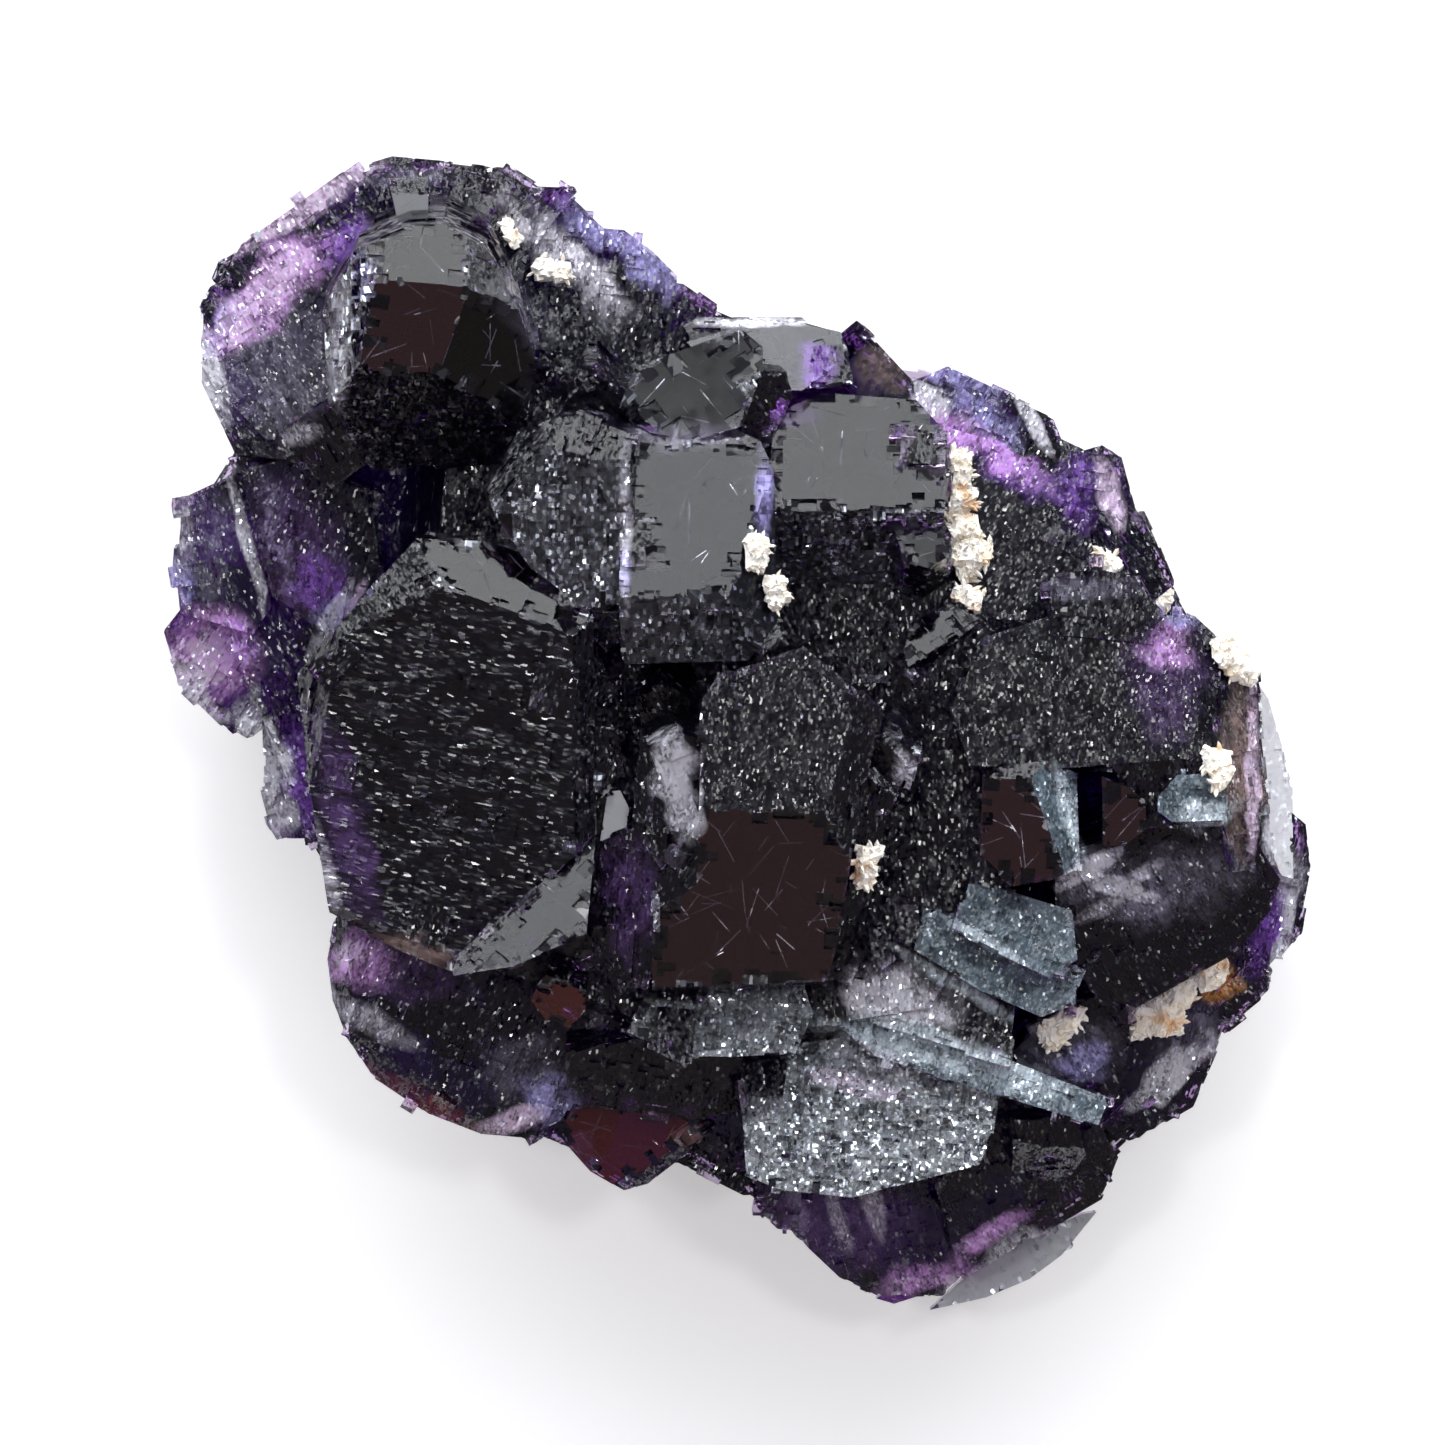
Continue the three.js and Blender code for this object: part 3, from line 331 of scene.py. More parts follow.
# The faces that differ from their neighbours, each found under a place seen from above, in millimetres.
NAMED_FACES: dict[Face, tuple[Span, ...]] = {
    Face.STRIPED: ((-16.0, -1.8),),
    Face.PLATE: (
        (-17.0, 26.2), (-14.2, 20.6), (-15.0, 9.0), (-10.6, -8.6), (-3.0, 11.0), (-3.0, 19.2), (5.6, 16.5),
        (10.3, 11.3), (11.4, 6.2),
    ),
    Face.SATIN: ((-14.2, 25.4), (-3.0, 16.2), (1.5, 13.0), (-3.0, -3.0)),
    Face.MIRROR: ((-17.3, 29.9), (-6.9, -3.7)),
    Face.BROWN: ((-18.4, 22.4), (-17.6, -11.9), (0.6, -9.0), (15.6, -5.0), (21.2, -4.4)),
    Face.FLANK: ((-21.6, 21.0),),
    Face.FLAKY: ((-9.6, 11.0), (-2.0, 5.4), (5.9, 10.5)),
    Face.FROSTED: ((1.6, 22.2), (8.2, 20.2)),
    Face.GRAIN: ((2.0, 0.6), (18.0, 2.0), (-25.0, 20.6), (15.4, 11.8)),
    Face.STEEL: ((18.2, -5.0), (25.2, -3.4), (15.4, -11.2), (12.6, -12.2), (11.0, -17.2)),
    Face.GLITTER: ((7.0, -21.5), (-1.0, -15.6)),
    Face.GARNET: ((-5.4, -22.4), (-9.6, -15.0)),
    Face.DULL: ((15.2, -29.6), (29.9, -3.6)),
}


@dataclass(frozen=True)
class Patch:
    """A coloured place: an ellipse seen from above, in millimetres, with its turn in degrees and its tint."""

    tint: Tint
    x: float
    y: float
    long: float
    wide: float
    turn: float
    depth: float = 5.0

    @property
    def reach(self) -> float:
        """How far it may colour the crystal from its middle, with its blurred and ragged rim."""
        return BLUR * max(self.long, self.wide) + RAGGED_MM

    def near(self, west: float, south: float, east: float, north: float) -> bool:
        """Whether it may reach a cell seen from above, whose edges are given in metres."""
        aside = max(west / MM - self.x, 0.0, self.x - east / MM)
        beyond = max(south / MM - self.y, 0.0, self.y - north / MM)
        return math.hypot(aside, beyond) < self.reach


# The coloured places by their tint: where each lies, its length and width, and its turn. The violet, magenta,
# pink, lilac and white ones at the rims are partly a painted glow of light shining through thin edges.
PLACES: dict[Tint, tuple[tuple[float, ...], ...]] = {
    # Faint grey places: a painted sheen of reflected light.
    Tint.HAZE_AND_SHEEN: (
        (-25.2, 20.4, 4.4, 3.6, 45), (-18.5, 31.0, 3.0, 0.6, 0), (-11.6, 23.4, 3.4, 1.6, -45),
        (-25.6, 11.0, 0.8, 3.8, 15), (-29.4, 10.6, 1.4, 3.2, 0), (-11.6, -18.8, 2.6, 1.9, -30),
        (18.6, 8.0, 3.8, 0.6, 0), (20.6, -8.4, 3.2, 1.7, -15), (24.6, -8.2, 3.6, 2.2, 15),
        (25.4, -17.0, 2.2, 1.6, 45), (18.8, -17.4, 2.4, 1.8, 15), (3.4, -26.2, 0.5, 1.8, 15),
        (-3.0, 16.4, 3.4, 0.8, 0),
    ),
    Tint.MAGENTA: (
        (-26.4, 24.4, 4.8, 1.5, 45), (-29.2, 4.8, 2.8, 2.5, 30), (-21.0, -12.6, 1.8, 1.4, 0),
        (13.4, 16.2, 4.2, 0.9, -30), (24.0, 4.8, 1.3, 1.1, 0), (14.2, -27.9, 2.4, 0.6, 30),
        (10.6, -30.4, 3.0, 0.9, 15),
    ),
    Tint.PINK: (
        (-26.8, 24.3, 3.6, 1.1, 45), (-24.6, 29.0, 5.0, 0.7, 30), (-21.4, 7.2, 0.35, 1.6, -30),
        (-29.8, 4.4, 1.7, 1.2, 30), (-12.4, -21.4, 1.9, 0.6, 15), (20.8, 13.4, 0.6, 2.0, 15),
        (28.6, -2.0, 0.35, 4.6, 0), (6.6, -19.4, 2.8, 0.6, -15),
    ),
    # Violet places, mostly at the rims: the crystal's violet, with a painted glow of light shining through the
    # thin edges.
    Tint.VIOLET: (
        (-22.0, 27.4, 1.7, 1.1, 30), (-23.6, 8.6, 1.6, 1.6, 0), (-28.0, 5.0, 1.4, 1.2, 30),
        (-24.2, -2.6, 1.0, 3.0, 15), (4.6, 20.6, 1.3, 1.2, 0), (14.8, 15.0, 3.4, 1.0, -30),
        (19.0, 13.4, 1.3, 2.2, 0), (29.6, -10.6, 1.1, 2.6, -15),
    ),
    Tint.WHITE: (
        (-29.2, 20.0, 0.7, 2.6, 15), (-22.7, 6.4, 0.45, 2.4, -30), (-27.4, 11.0, 0.35, 3.8, 15),
        (-30.6, 3.0, 2.8, 0.8, -45), (-26.2, -1.6, 1.2, 4.0, 15), (10.8, 18.6, 1.1, 0.8, -30),
        (16.6, 17.2, 0.4, 1.8, 30), (30.2, -2.8, 1.1, 4.8, 0), (19.4, -7.4, 2.0, 0.5, 30),
        (21.2, -8.4, 1.9, 0.5, -15), (30.6, -11.2, 0.4, 2.6, -15), (24.2, -19.2, 2.8, 0.9, 45),
        (17.8, -16.2, 1.4, 0.6, 15), (8.8, -14.9, 3.0, 1.2, -15), (15.2, -29.4, 4.0, 1.2, 30),
        (-3.2, -2.8, 1.2, 3.0, 15), (1.4, 22.9, 3.2, 0.35, 0),
    ),
    Tint.LILAC: (
        (-28.6, 22.8, 1.9, 0.7, 60), (-7.6, 28.4, 2.4, 1.0, -30), (-4.6, 25.9, 2.3, 1.0, -45),
        (-22.0, 6.6, 1.6, 1.3, 0), (-30.8, 8.4, 0.8, 1.4, 0), (-10.6, -20.0, 1.4, 1.2, -30),
        (12.4, 19.9, 2.8, 0.8, -30), (13.8, 17.6, 2.4, 0.8, -30), (24.4, 6.6, 1.1, 0.9, 0),
        (19.6, -18.2, 1.1, 0.9, 15), (-6.1, 9.0, 0.4, 1.2, 0), (1.5, 13.4, 0.5, 2.4, 0),
    ),
    Tint.MIST: (
        (-24.2, 16.6, 1.2, 0.6, 15), (-21.9, 21.6, 0.7, 3.4, 0), (-9.6, 26.6, 4.6, 1.2, -45),
        (-8.6, 26.2, 2.6, 0.6, -45), (-30.9, 12.0, 0.6, 3.2, 0), (-29.6, 14.4, 1.8, 0.4, 15),
        (-22.6, -7.4, 0.5, 2.8, 15), (-21.4, -12.2, 1.0, 0.7, 0), (-20.2, -16.0, 2.6, 0.7, -30),
        (-23.0, -14.0, 0.6, 1.6, 15), (20.2, -9.6, 1.6, 0.45, 30), (22.6, -7.6, 1.2, 0.4, 30),
        (30.8, -8.2, 1.0, 2.2, 0), (9.0, -14.6, 3.4, 1.5, -15), (7.6, -18.0, 2.4, 1.0, -15),
        (7.6, -26.2, 0.5, 2.2, 15), (5.6, -26.6, 0.5, 2.2, 15), (-6.1, 11.4, 0.3, 4.4, 0),
        (9.4, -2.2, 0.7, 1.4, 15),
    ),
    Tint.PURPLE: (
        (-24.6, 10.2, 2.6, 4.6, 15), (-21.6, -4.6, 1.2, 5.6, 15), (-5.8, -9.0, 1.3, 3.4, 0),
        (-18.0, -13.4, 3.4, 1.5, -15), (-9.0, -23.6, 1.0, 1.4, 30), (3.2, 17.6, 1.3, 0.6, 0),
        (23.6, 3.2, 2.2, 3.0, 0), (5.4, -27.4, 4.6, 2.8, 0),
    ),
    # Thin pale cyan strokes along the lower edges of the ledges: painted highlights where light catches them.
    Tint.ICE_HIGHLIGHT: (
        (18.5, -4.8, 0.5, 3.0, 15), (26.3, -4.4, 1.9, 0.9, 0), (12.4, -14.0, 4.2, 0.4, -30),
        (13.6, -11.3, 2.4, 0.35, -30), (11.4, -17.6, 7.4, 0.9, -15),
    ),
    Tint.FAWN: ((-17.8, -11.9, 2.6, 0.9, -15), (8.0, 20.2, 1.4, 1.4, -45), (27.9, -1.2, 1.0, 5.0, 0)),
    # A maroon place: partly body colour, partly a painted warm reflection.
    Tint.MAROON: ((-17.6, -20.4, 4.6, 0.7, -30),),
    Tint.AMBER: ((27.2, -14.4, 1.2, 1.0, 30),),
}
PATCHES = [Patch(tint, *place) for tint, places in PLACES.items() for place in places]


@dataclass(frozen=True)
class FluoriteFinish:
    """The see-through crystal, with coloured places that are partly cloudy zones and partly painted light, and
    with etched and flashing faces.

    Fine and broad grains tip its faces and mottle its colours. A line crosses broad_share as many broad ones.
    """

    index: float = 1.434
    absorbed: Colour = (0.60, 0.34, 0.72)
    absorption: float = 1250.0
    clear: Colour = (0.86, 0.82, 0.90)
    fleck: Colour = (0.80, 0.86, 0.92)
    dense: float = 0.85
    grain_jitter: float = 0.75
    broad_share: float = 0.27
    broad_lean: float = 0.6
    least_lean: float = 0.45
    more_lean: float = 1.15
    steep_share: Span = (0.5, 0.8)
    grain_weight: float = 0.45
    noise_weight: float = 0.5
    noise_scale: float = 0.9
    mottle_range: Span = (0.35, 1.0)
    mottle: float = 1.4
    mottle_mean: float = 0.75
    least_cover: float = 0.25
    flash_share: float = 0.6
    flash_top: float = 1.05
    cover_flash: float = 0.4
    least_rough: float = 0.04
    even_rough: float = 0.14
    grain_rough: float = 0.26
    wander_scale: float = 480.0
    patch_rim: Span = (1.25, 0.55)
    ragged_mm: float = RAGGED_MM
    thin_mm: float = 0.8
    thin_ragged_mm: float = 0.35

    def material(self, name: str, places: Sequence[tuple[Patch, float]]) -> bpy.types.Material:
        """The crystal's material for one cell of the group.

        Args:
            name: the cell's name.
            places: the coloured places in it, each with the height of the surface there, in metres.

        Returns:
            The material.
        """
        material = bpy.data.materials.new("fluorite_" + name)
        graph = Graph(material)
        lattice = graph.attribute("lattice", "Vector")
        lean, polish, spark = graph.split(graph.attribute("finish", "Vector"))
        fine, fine_hue = self._grains(graph, lattice, 1.0)
        broad, broad_hue = self._grains(graph, lattice, self.broad_share)

        mean = 0.5 + 0.5 * self.broad_lean
        way = graph.vector("MULTIPLY_ADD", broad_hue, (self.broad_lean,) * 3, fine_hue)
        steep = lean * (self.least_lean + fine.ramp(*self.steep_share) * self.more_lean)
        tip = graph.vector("SCALE", graph.vector("SUBTRACT", way, (mean,) * 3), Scale=steep)
        facing = graph.node("NewGeometry", {}, "Normal")
        normal = graph.vector("NORMALIZE", graph.vector("ADD", facing, tip))

        grains = fine * self.grain_weight + broad * self.grain_weight
        grains = grains + graph.noise(lattice, self.noise_scale) * self.noise_weight
        mottle = grains.ramp(*self.mottle_range) * self.mottle
        # The coloured places, with their painted glow, sheen and highlights, scaled by the grain mottle.
        clouds_and_painted_light = graph.vector("SCALE", self._clouds_and_painted_light(graph, places), Scale=self.least_cover + mottle)
        tipped = lean.clamped()
        own = graph.attribute("tint", "Vector")
        own = graph.vector("SCALE", own, Scale=1.0 + tipped * (mottle - self.mottle_mean))
        colour_and_painted_light = graph.vector("ADD", own, clouds_and_painted_light)
        whiteness = graph.vector("LENGTH", colour_and_painted_light, output="Value")
        thickness = (whiteness * (1.0 / self.dense)).clamped()
        hue = graph.vector("SCALE", graph.vector("NORMALIZE", colour_and_painted_light), Scale=self.dense)

        flashing = (spark + whiteness * tipped * self.cover_flash) * self.flash_share
        flash = fine.ramp_between(1.0 - flashing, self.flash_top)
        roughness = self.least_rough + (1.0 - polish) * (self.even_rough + self.grain_rough * broad)
        shared = {"Roughness": roughness, "IOR": self.index, "Normal": normal}
        crystal = graph.principled({**shared, "Base Color": rgba(self.clear), "Transmission Weight": 1.0})
        # The opaque part shows the body colour with the painted glow, sheen and highlights of the coloured
        # places.
        lit = graph.mix(flash, hue, rgba(self.fleck))
        opaque_part = graph.principled({**shared, "Base Color": lit, "Metallic": flash})
        surface = graph.node("MixShader", {0: thickness.most(flash), 1: crystal, 2: opaque_part})
        inputs = {"Color": rgba(self.absorbed), "Density": self.absorption}
        volume = graph.node("VolumeAbsorption", inputs)
        graph.output("Material", {"Surface": surface, "Volume": volume})
        return material

    def _grains(self, graph: Graph, lattice: Wire, scale: float) -> tuple[Wire, Wire]:
        """Small square grains.

        Args:
            graph: the node tree.
            lattice: the place in the crystal's own axes, in grains.
            scale: how many grains a unit of it holds.

        Returns:
            A number from 0 to 1 for each grain, and three of them as a vector.
        """
        settings = {"distance": "CHEBYCHEV", "feature": "F1", "voronoi_dimensions": "2D"}
        inputs = {"Vector": lattice, "Scale": scale, "Randomness": self.grain_jitter}
        hue = graph.node("TexVoronoi", inputs, "Color", **settings)
        return graph.split(hue)[2], hue

    def _clouds_and_painted_light(self, graph: Graph, places: Sequence[tuple[Patch, float]]) -> Wire:
        """The coloured places, added up: cloudy zones and stains, and painted glow, sheen and highlights.

        Args:
            graph: the node tree.
            places: the coloured places, each with the height of the surface there, in metres.

        Returns:
            The light that they send back, as a vector.
        """
        wander = graph.noise(graph.place(), self.wander_scale, 1.0, "Color")
        shifted = []
        for reach in (self.ragged_mm * MM, self.thin_ragged_mm * MM):
            shift = graph.vector("MULTIPLY_ADD", wander, (2 * reach,) * 3, (-reach,) * 3)
            shifted.append(graph.vector("ADD", graph.place(), shift))
        turned: dict[tuple[float, bool], Wire] = {}
        total = graph.vector("ADD", Tint.CLEAR.value, Tint.CLEAR.value)
        for patch, height in places:
            turn = -math.radians(patch.turn)
            thin = min(patch.long, patch.wide) < self.thin_mm
            if (turn, thin) not in turned:
                inputs = {"Vector": shifted[thin], "Angle": turn}
                turned[turn, thin] = graph.node("VectorRotate", inputs, rotation_type="Z_AXIS")
            middle = Matrix.Rotation(turn, 3, "Z") @ Vector((patch.x * MM, patch.y * MM, height))
            sizes = (patch.long * MM, patch.wide * MM, patch.depth * MM)
            share = tuple(1.0 / size for size in sizes)
            start = tuple(-value / size for value, size in zip(middle, sizes))
            arm = graph.vector("MULTIPLY_ADD", turned[turn, thin], share, start)
            cover = graph.vector("LENGTH", arm, output="Value").ramp(*self.patch_rim)
            total = graph.vector("MULTIPLY_ADD", cover, patch.tint.value, total)
        return total


@dataclass(frozen=True)
class CalciteFinish:
    """The cream calcite, chalky, with an orange stain in scattered places."""

    cream: Colour = (0.96, 0.88, 0.72)
    white: Colour = (0.97, 0.95, 0.89)
    stain: Colour = (0.78, 0.42, 0.13)
    index: float = 1.6
    white_scale: float = 900.0
    white_range: Span = (0.35, 0.65)
    stain_scale: float = 520.0
    stain_range: Span = (0.56, 0.70)
    stain_share: float = 0.75
    chalk_scale: float = 4200.0
    chalk_deep: float = 0.0002

    def material(self) -> bpy.types.Material:
        """The crusts' material."""
        material = bpy.data.materials.new("calcite_crust")
        graph = Graph(material)
        place = graph.place()
        broad = graph.noise(place, self.white_scale, 3.0).ramp(*self.white_range)
        fine = graph.noise(place, self.chalk_scale, 4.0)
        stained = graph.noise(place, self.stain_scale, 3.0).ramp(*self.stain_range) * self.stain_share
        colour = graph.mix(broad, rgba(self.cream), rgba(self.white))
        colour = graph.mix(stained, colour, rgba(self.stain))
        bump = graph.node("Bump", {"Strength": 0.5, "Distance": self.chalk_deep, "Height": fine})
        roughness = 0.35 + fine * 0.4
        inputs = {"Base Color": colour, "Roughness": roughness, "IOR": self.index, "Normal": bump}
        graph.output("Material", {"Surface": graph.principled(inputs)})
        return material


# Meshes


@dataclass
class Block:
    """A small box: its middle, its three axes and its size along them, in metres."""

    middle: Vector
    axes: tuple[Vector, Vector, Vector]
    size: Point

    @property
    def reach(self) -> float:
        """The distance from its middle to a corner."""
        return 0.5 * math.sqrt(sum(length * length for length in self.size))

    def shape(self) -> Shape:
        """Its eight corners, and its sides as numbers of them."""
        arms = [axis * (length / 2) for axis, length in zip(self.axes, self.size)]
        corners = [self.middle]
        for arm in arms:
            corners = [corner + arm * sign for corner in corners for sign in (-1.0, 1.0)]
        return corners, BLOCK_SIDES

    def within(self, low: Point, high: Point) -> bool:
        """Whether all its corners lie in a box."""
        return all(low[i] < corner[i] < high[i] for corner in self.shape()[0] for i in range(3))


@dataclass
class Spar(Block):
    """A pointed crystal, with the block that holds it."""

    form: Shape

    def shape(self) -> Shape:
        """Its corners, and its sides as numbers of them."""
        return self.form


BLOCK_SIDES = ((0, 1, 3, 2), (4, 6, 7, 5), (0, 4, 5, 1), (2, 3, 7, 6), (0, 2, 6, 4), (1, 5, 7, 3))


def block_layers(blocks: Sequence[Block], pitch: float = 0.006) -> list[list[Block]]:
    """Sorts blocks into layers, in each of which no two touch.

    Args:
        blocks: the blocks, none reaching further from its middle than half of pitch.
        pitch: the size of the cells that neighbours are looked up in, in metres.

    Returns:
        The layers.
    """
    layers: list[list[Block]] = []
    cells: dict[tuple[int, ...], list[tuple[Block, int]]] = defaultdict(list)
    around = [(i, j, k) for i in (-1, 0, 1) for j in (-1, 0, 1) for k in (-1, 0, 1)]
    for block in blocks:
        cell = tuple(math.floor(value / pitch) for value in block.middle)
        used = set()
        for step in around:
            for other, layer in cells[tuple(a + b for a, b in zip(cell, step))]:
                if (other.middle - block.middle).length < other.reach + block.reach:
                    used.add(layer)
        layer = next(number for number in range(len(layers) + 1) if number not in used)
        if layer == len(layers):
            layers.append([])
        layers[layer].append(block)
        cells[cell].append((block, layer))
    return layers


@contextmanager
def opened(mesh: bpy.types.Mesh, keep: bool = True) -> Iterator[bmesh.types.BMesh]:
    """Opens a mesh for work on its parts.

    Args:
        mesh: the mesh.
        keep: whether it is changed to what the work leaves.

    Yields:
        Its parts.
    """
    solid = bmesh.new()
    solid.from_mesh(mesh)
    yield solid
    if keep:
        solid.to_mesh(mesh)
    solid.free()


def placed(name: str, data: Any) -> bpy.types.Object:
    """A new object in the scene."""
    thing = bpy.data.objects.new(name, data)
    bpy.context.scene.collection.objects.link(thing)
    return thing


def mesh_of(shapes: Iterable[Shape]) -> bpy.types.Mesh:
    """A mesh of separate closed shapes, facing out."""
    corners: list[Vector] = []
    sides: list[tuple[int, ...]] = []
    for points, faces in shapes:
        start = len(corners)
        corners.extend(points)
        sides.extend(tuple(start + index for index in face) for face in faces)
    mesh = bpy.data.meshes.new("tool")
    mesh.from_pydata(corners, [], sides)
    with opened(mesh) as solid:
        bmesh.ops.recalc_face_normals(solid, faces=solid.faces)
    return mesh


def welded(source: bpy.types.Object) -> bpy.types.Mesh:
    """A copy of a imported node's mesh with its corners joined."""
    joined = bmesh.new()
    joined.from_mesh(source.data)
    bmesh.ops.remove_doubles(joined, verts=joined.verts, dist=WELD)
    mesh = bpy.data.meshes.new(source.name + "_welded")
    joined.to_mesh(mesh)
    joined.free()
    return mesh


def carve(piece: bpy.types.Object, blocks: Sequence[Block], operation: str) -> None:
    """Cuts blocks out of a piece, or joins them on, and keeps the result.

    Args:
        piece: the piece that is changed.
        blocks: the blocks.
        operation: DIFFERENCE or UNION.
    """
    for layer in block_layers(blocks):
        tool = placed("tool", mesh_of(block.shape() for block in layer))
        modifier = piece.modifiers.new("carve", "BOOLEAN")
        modifier.operation = operation
        modifier.solver = "MANIFOLD"
        modifier.object = tool
        evaluated = piece.evaluated_get(bpy.context.evaluated_depsgraph_get())
        result = bpy.data.meshes.new_from_object(evaluated)
        piece.modifiers.clear()
        piece.data = result
        used = tool.data
        bpy.data.objects.remove(tool)
        bpy.data.meshes.remove(used)


def whole(wanted: float, rng: random.Random) -> int:
    """A number rounded up or down by chance, so that its mean is kept."""
    return int(wanted) + (rng.random() < wanted % 1.0)


def spread(start: Any, seen: set[int], beside: Callable[[Any], Iterable[Any]]) -> list[Any]:
    """Collects the parts of a mesh that hang together.

    Args:
        start: the first part.
        seen: the numbers of the parts that were collected before, to which these are added.
        beside: gives the parts that a part leads on to.

    Returns:
        The parts.
    """
    seen.add(start.index)
    members, waiting = [], [start]
    while waiting:
        part = waiting.pop()
        members.append(part)
        for other in beside(part):
            if other.index not in seen:
                seen.add(other.index)
                waiting.append(other)
    return members


def corners_beside(corner: Any) -> list[Any]:
    """The corners that share an edge with a corner."""
    return [edge.other_vert(corner) for edge in corner.link_edges]


def keep_largest(piece: bpy.types.Object) -> None:
    """Deletes the loose chips of a piece, which leaves its largest connected part."""
    with opened(piece.data) as solid:
        seen: set[int] = set()
        parts = [spread(vert, seen, corners_beside) for vert in solid.verts if vert.index not in seen]
        for part in sorted(parts, key=len)[:-1]:
            bmesh.ops.delete(solid, geom=part, context="VERTS")


@dataclass
class Facet:
    """A flat face of the group.

    along is the axis that its growth steps follow, and level how far out it lies along its normal. A grounded
    face is a side of the massive back.
    """

    normal: Vector
    along: Vector
    level: float
    area: float
    triangles: list[int]
    kind: Face
    grounded: bool

    @property
    def axes(self) -> tuple[Vector, Vector, Vector]:
        """The directions along the face, across it and out of it."""
        return self.along, self.normal.cross(self.along), self.normal


@dataclass
class CrystalGroup:
    """The intergrown fluorite crystals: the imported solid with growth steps, pits and chipped edges.

    A look is the lean, polish and spark of a face.
    """

    seed: int = 7
    cells: int = 4
    flat_degrees: float = 0.6
    turn_degrees: float = 3.0
    steep: float = 0.35
    under: float = -0.95
    ground_mm: float = 0.02
    tip_per_lean: float = 0.22
    step_shape: Span = (0.3, 0.9)
    step_root_mm: float = 0.4
    step_rise: float = 0.7
    cut_rise: float = 1.2
    small_mm2: float = 4.0
    small_step: float = 0.6
    crosswise: float = 0.35
    sharp_degrees: float = 24.0
    chips_per_mm: float = 0.75
    chip_mm: Span = (0.2, 0.75)
    chip_wide: Span = (0.4, 0.8)
    chip_thick: Span = (0.3, 0.7)
    chip_turn: Span = (0.35, 0.7)
    chip_out: float = 0.35
    smooth_edge: float = 0.75
    smooth_polish: float = 0.85
    tooth_mm: Span = (0.25, 1.5)
    tooth_wide: Span = (0.3, 0.8)
    tooth_deep_mm: Span = (0.12, 0.4)
    tooth_in_mm: Span = (-0.1, 0.45)
    scratches_per_mm2: float = 0.45
    scratch_mm: Span = (0.5, 2.6)
    scratch_wide_mm: Span = (0.03, 0.08)
    scratch_deep_mm: float = 0.012
    scratch_look: Point = (0.5, 0.6, 0.2)
    pit_mm: float = 0.02
    broken_degrees: float = 17.0
    broken_look: Point = (0.9, 0.65, 0.35)
    broken_frost_and_highlight: float = 0.4
    lattice_shift: float = 7.31
    facets: list[Facet] = field(default_factory=list)
    facet_of: list[int] = field(default_factory=list)
    base: bpy.types.Mesh = field(init=False)
    tree: BVHTree = field(init=False)
    rng: random.Random = field(init=False)

    def __post_init__(self) -> None:
        """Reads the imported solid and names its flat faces."""
        self.rng = random.Random(self.seed)
        self.base = welded(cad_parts["fluorite_cluster"])
        self.tree = self._find_facets()
        self._name_facets()

    def build(self, finish: FluoriteFinish) -> bpy.types.Object:
        """Makes and dresses the group.

        Args:
            finish: the crystal's finish.

        Returns:
            The piece.
        """
        piece = placed("fluorite_crystals", self.base.copy())
        bumps = list(self._growth(self.facets, proud=True))
        cuts = list(self._growth(self.facets, proud=False))
        for notches in (self._chips, self._teeth, self._scratches):
            cuts.extend(notches())
        back = [facet for facet in self.facets if facet.grounded]
        for facet in back:
            facet.kind = Face.BACK
        cuts.extend(self._growth(back, proud=False))
        LOG.info("fluorite: %d blocks joined on, %d cut out", len(bumps), len(cuts))
        carve(piece, bumps, "UNION")
        carve(piece, cuts, "DIFFERENCE")
        keep_largest(piece)
        self._split(piece.data)
        self._dress(piece.data, finish)
        self._mark(piece.data)
        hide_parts("fluorite_cluster")
        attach(piece, "root")
        return piece

    def _find_facets(self) -> BVHTree:
        """Groups the solid's triangles into flat faces.

        Returns:
            A tree that finds the triangle nearest to a point.
        """
        with opened(self.base, keep=False) as solid:
            self.facet_of = [-1] * len(solid.faces)
            seen: set[int] = set()
            for start in solid.faces:
                if start.index in seen:
                    continue
                members = spread(start, seen, partial(self._level_beside, start))
                for face in members:
                    self.facet_of[face.index] = len(self.facets)
                self.facets.append(self._facet(members, len(self.facets)))
            return BVHTree.FromBMesh(solid)

    def _level_beside(self, first: Any, face: Any) -> list[Any]:
        """The neighbours of a triangle that lie as level as the first one of their flat face."""
        flat = math.cos(math.radians(self.flat_degrees))
        around = (other for edge in face.edges for other in edge.link_faces)
        return [other for other in around if other.normal.dot(first.normal) > flat]

    def _facet(self, members: list[Any], number: int) -> Facet:
        """Describes one flat face from its triangles.

        Args:
            members: the triangles.
            number: the face's number.

        Returns:
            The facet, with the direction that most of its rim follows.
        """
        area = sum(face.calc_area() for face in members)
        normal = max(members, key=lambda face: face.calc_area()).normal.copy()
        across = normal.orthogonal().normalized()
        up = normal.cross(across)
        bins: dict[int, float] = defaultdict(float)
        for face in members:
            for edge in face.edges:
                if any(self.facet_of[other.index] != number for other in edge.link_faces):
                    run = edge.verts[1].co - edge.verts[0].co
                    turn = math.degrees(math.atan2(run.dot(up), run.dot(across))) % 90.0
                    bins[round(turn / self.turn_degrees) % round(90.0 / self.turn_degrees)] += run.length
        turn = math.radians(self.turn_degrees * max(bins, key=lambda key: bins[key])) if bins else 0.0
        along = across * math.cos(turn) + up * math.sin(turn)
        kind = Face.ETCHED
        if normal.z < self.steep:
            kind = Face.WALL
        if normal.z < self.under:
            kind = Face.CUT
        level = normal.dot(members[0].verts[0].co)
        lowest = min(vert.co.z for face in members for vert in face.verts)
        grounded = kind is not Face.CUT and lowest < self.ground_mm * MM
        return Facet(normal, along, level, area, [face.index for face in members], kind, grounded)

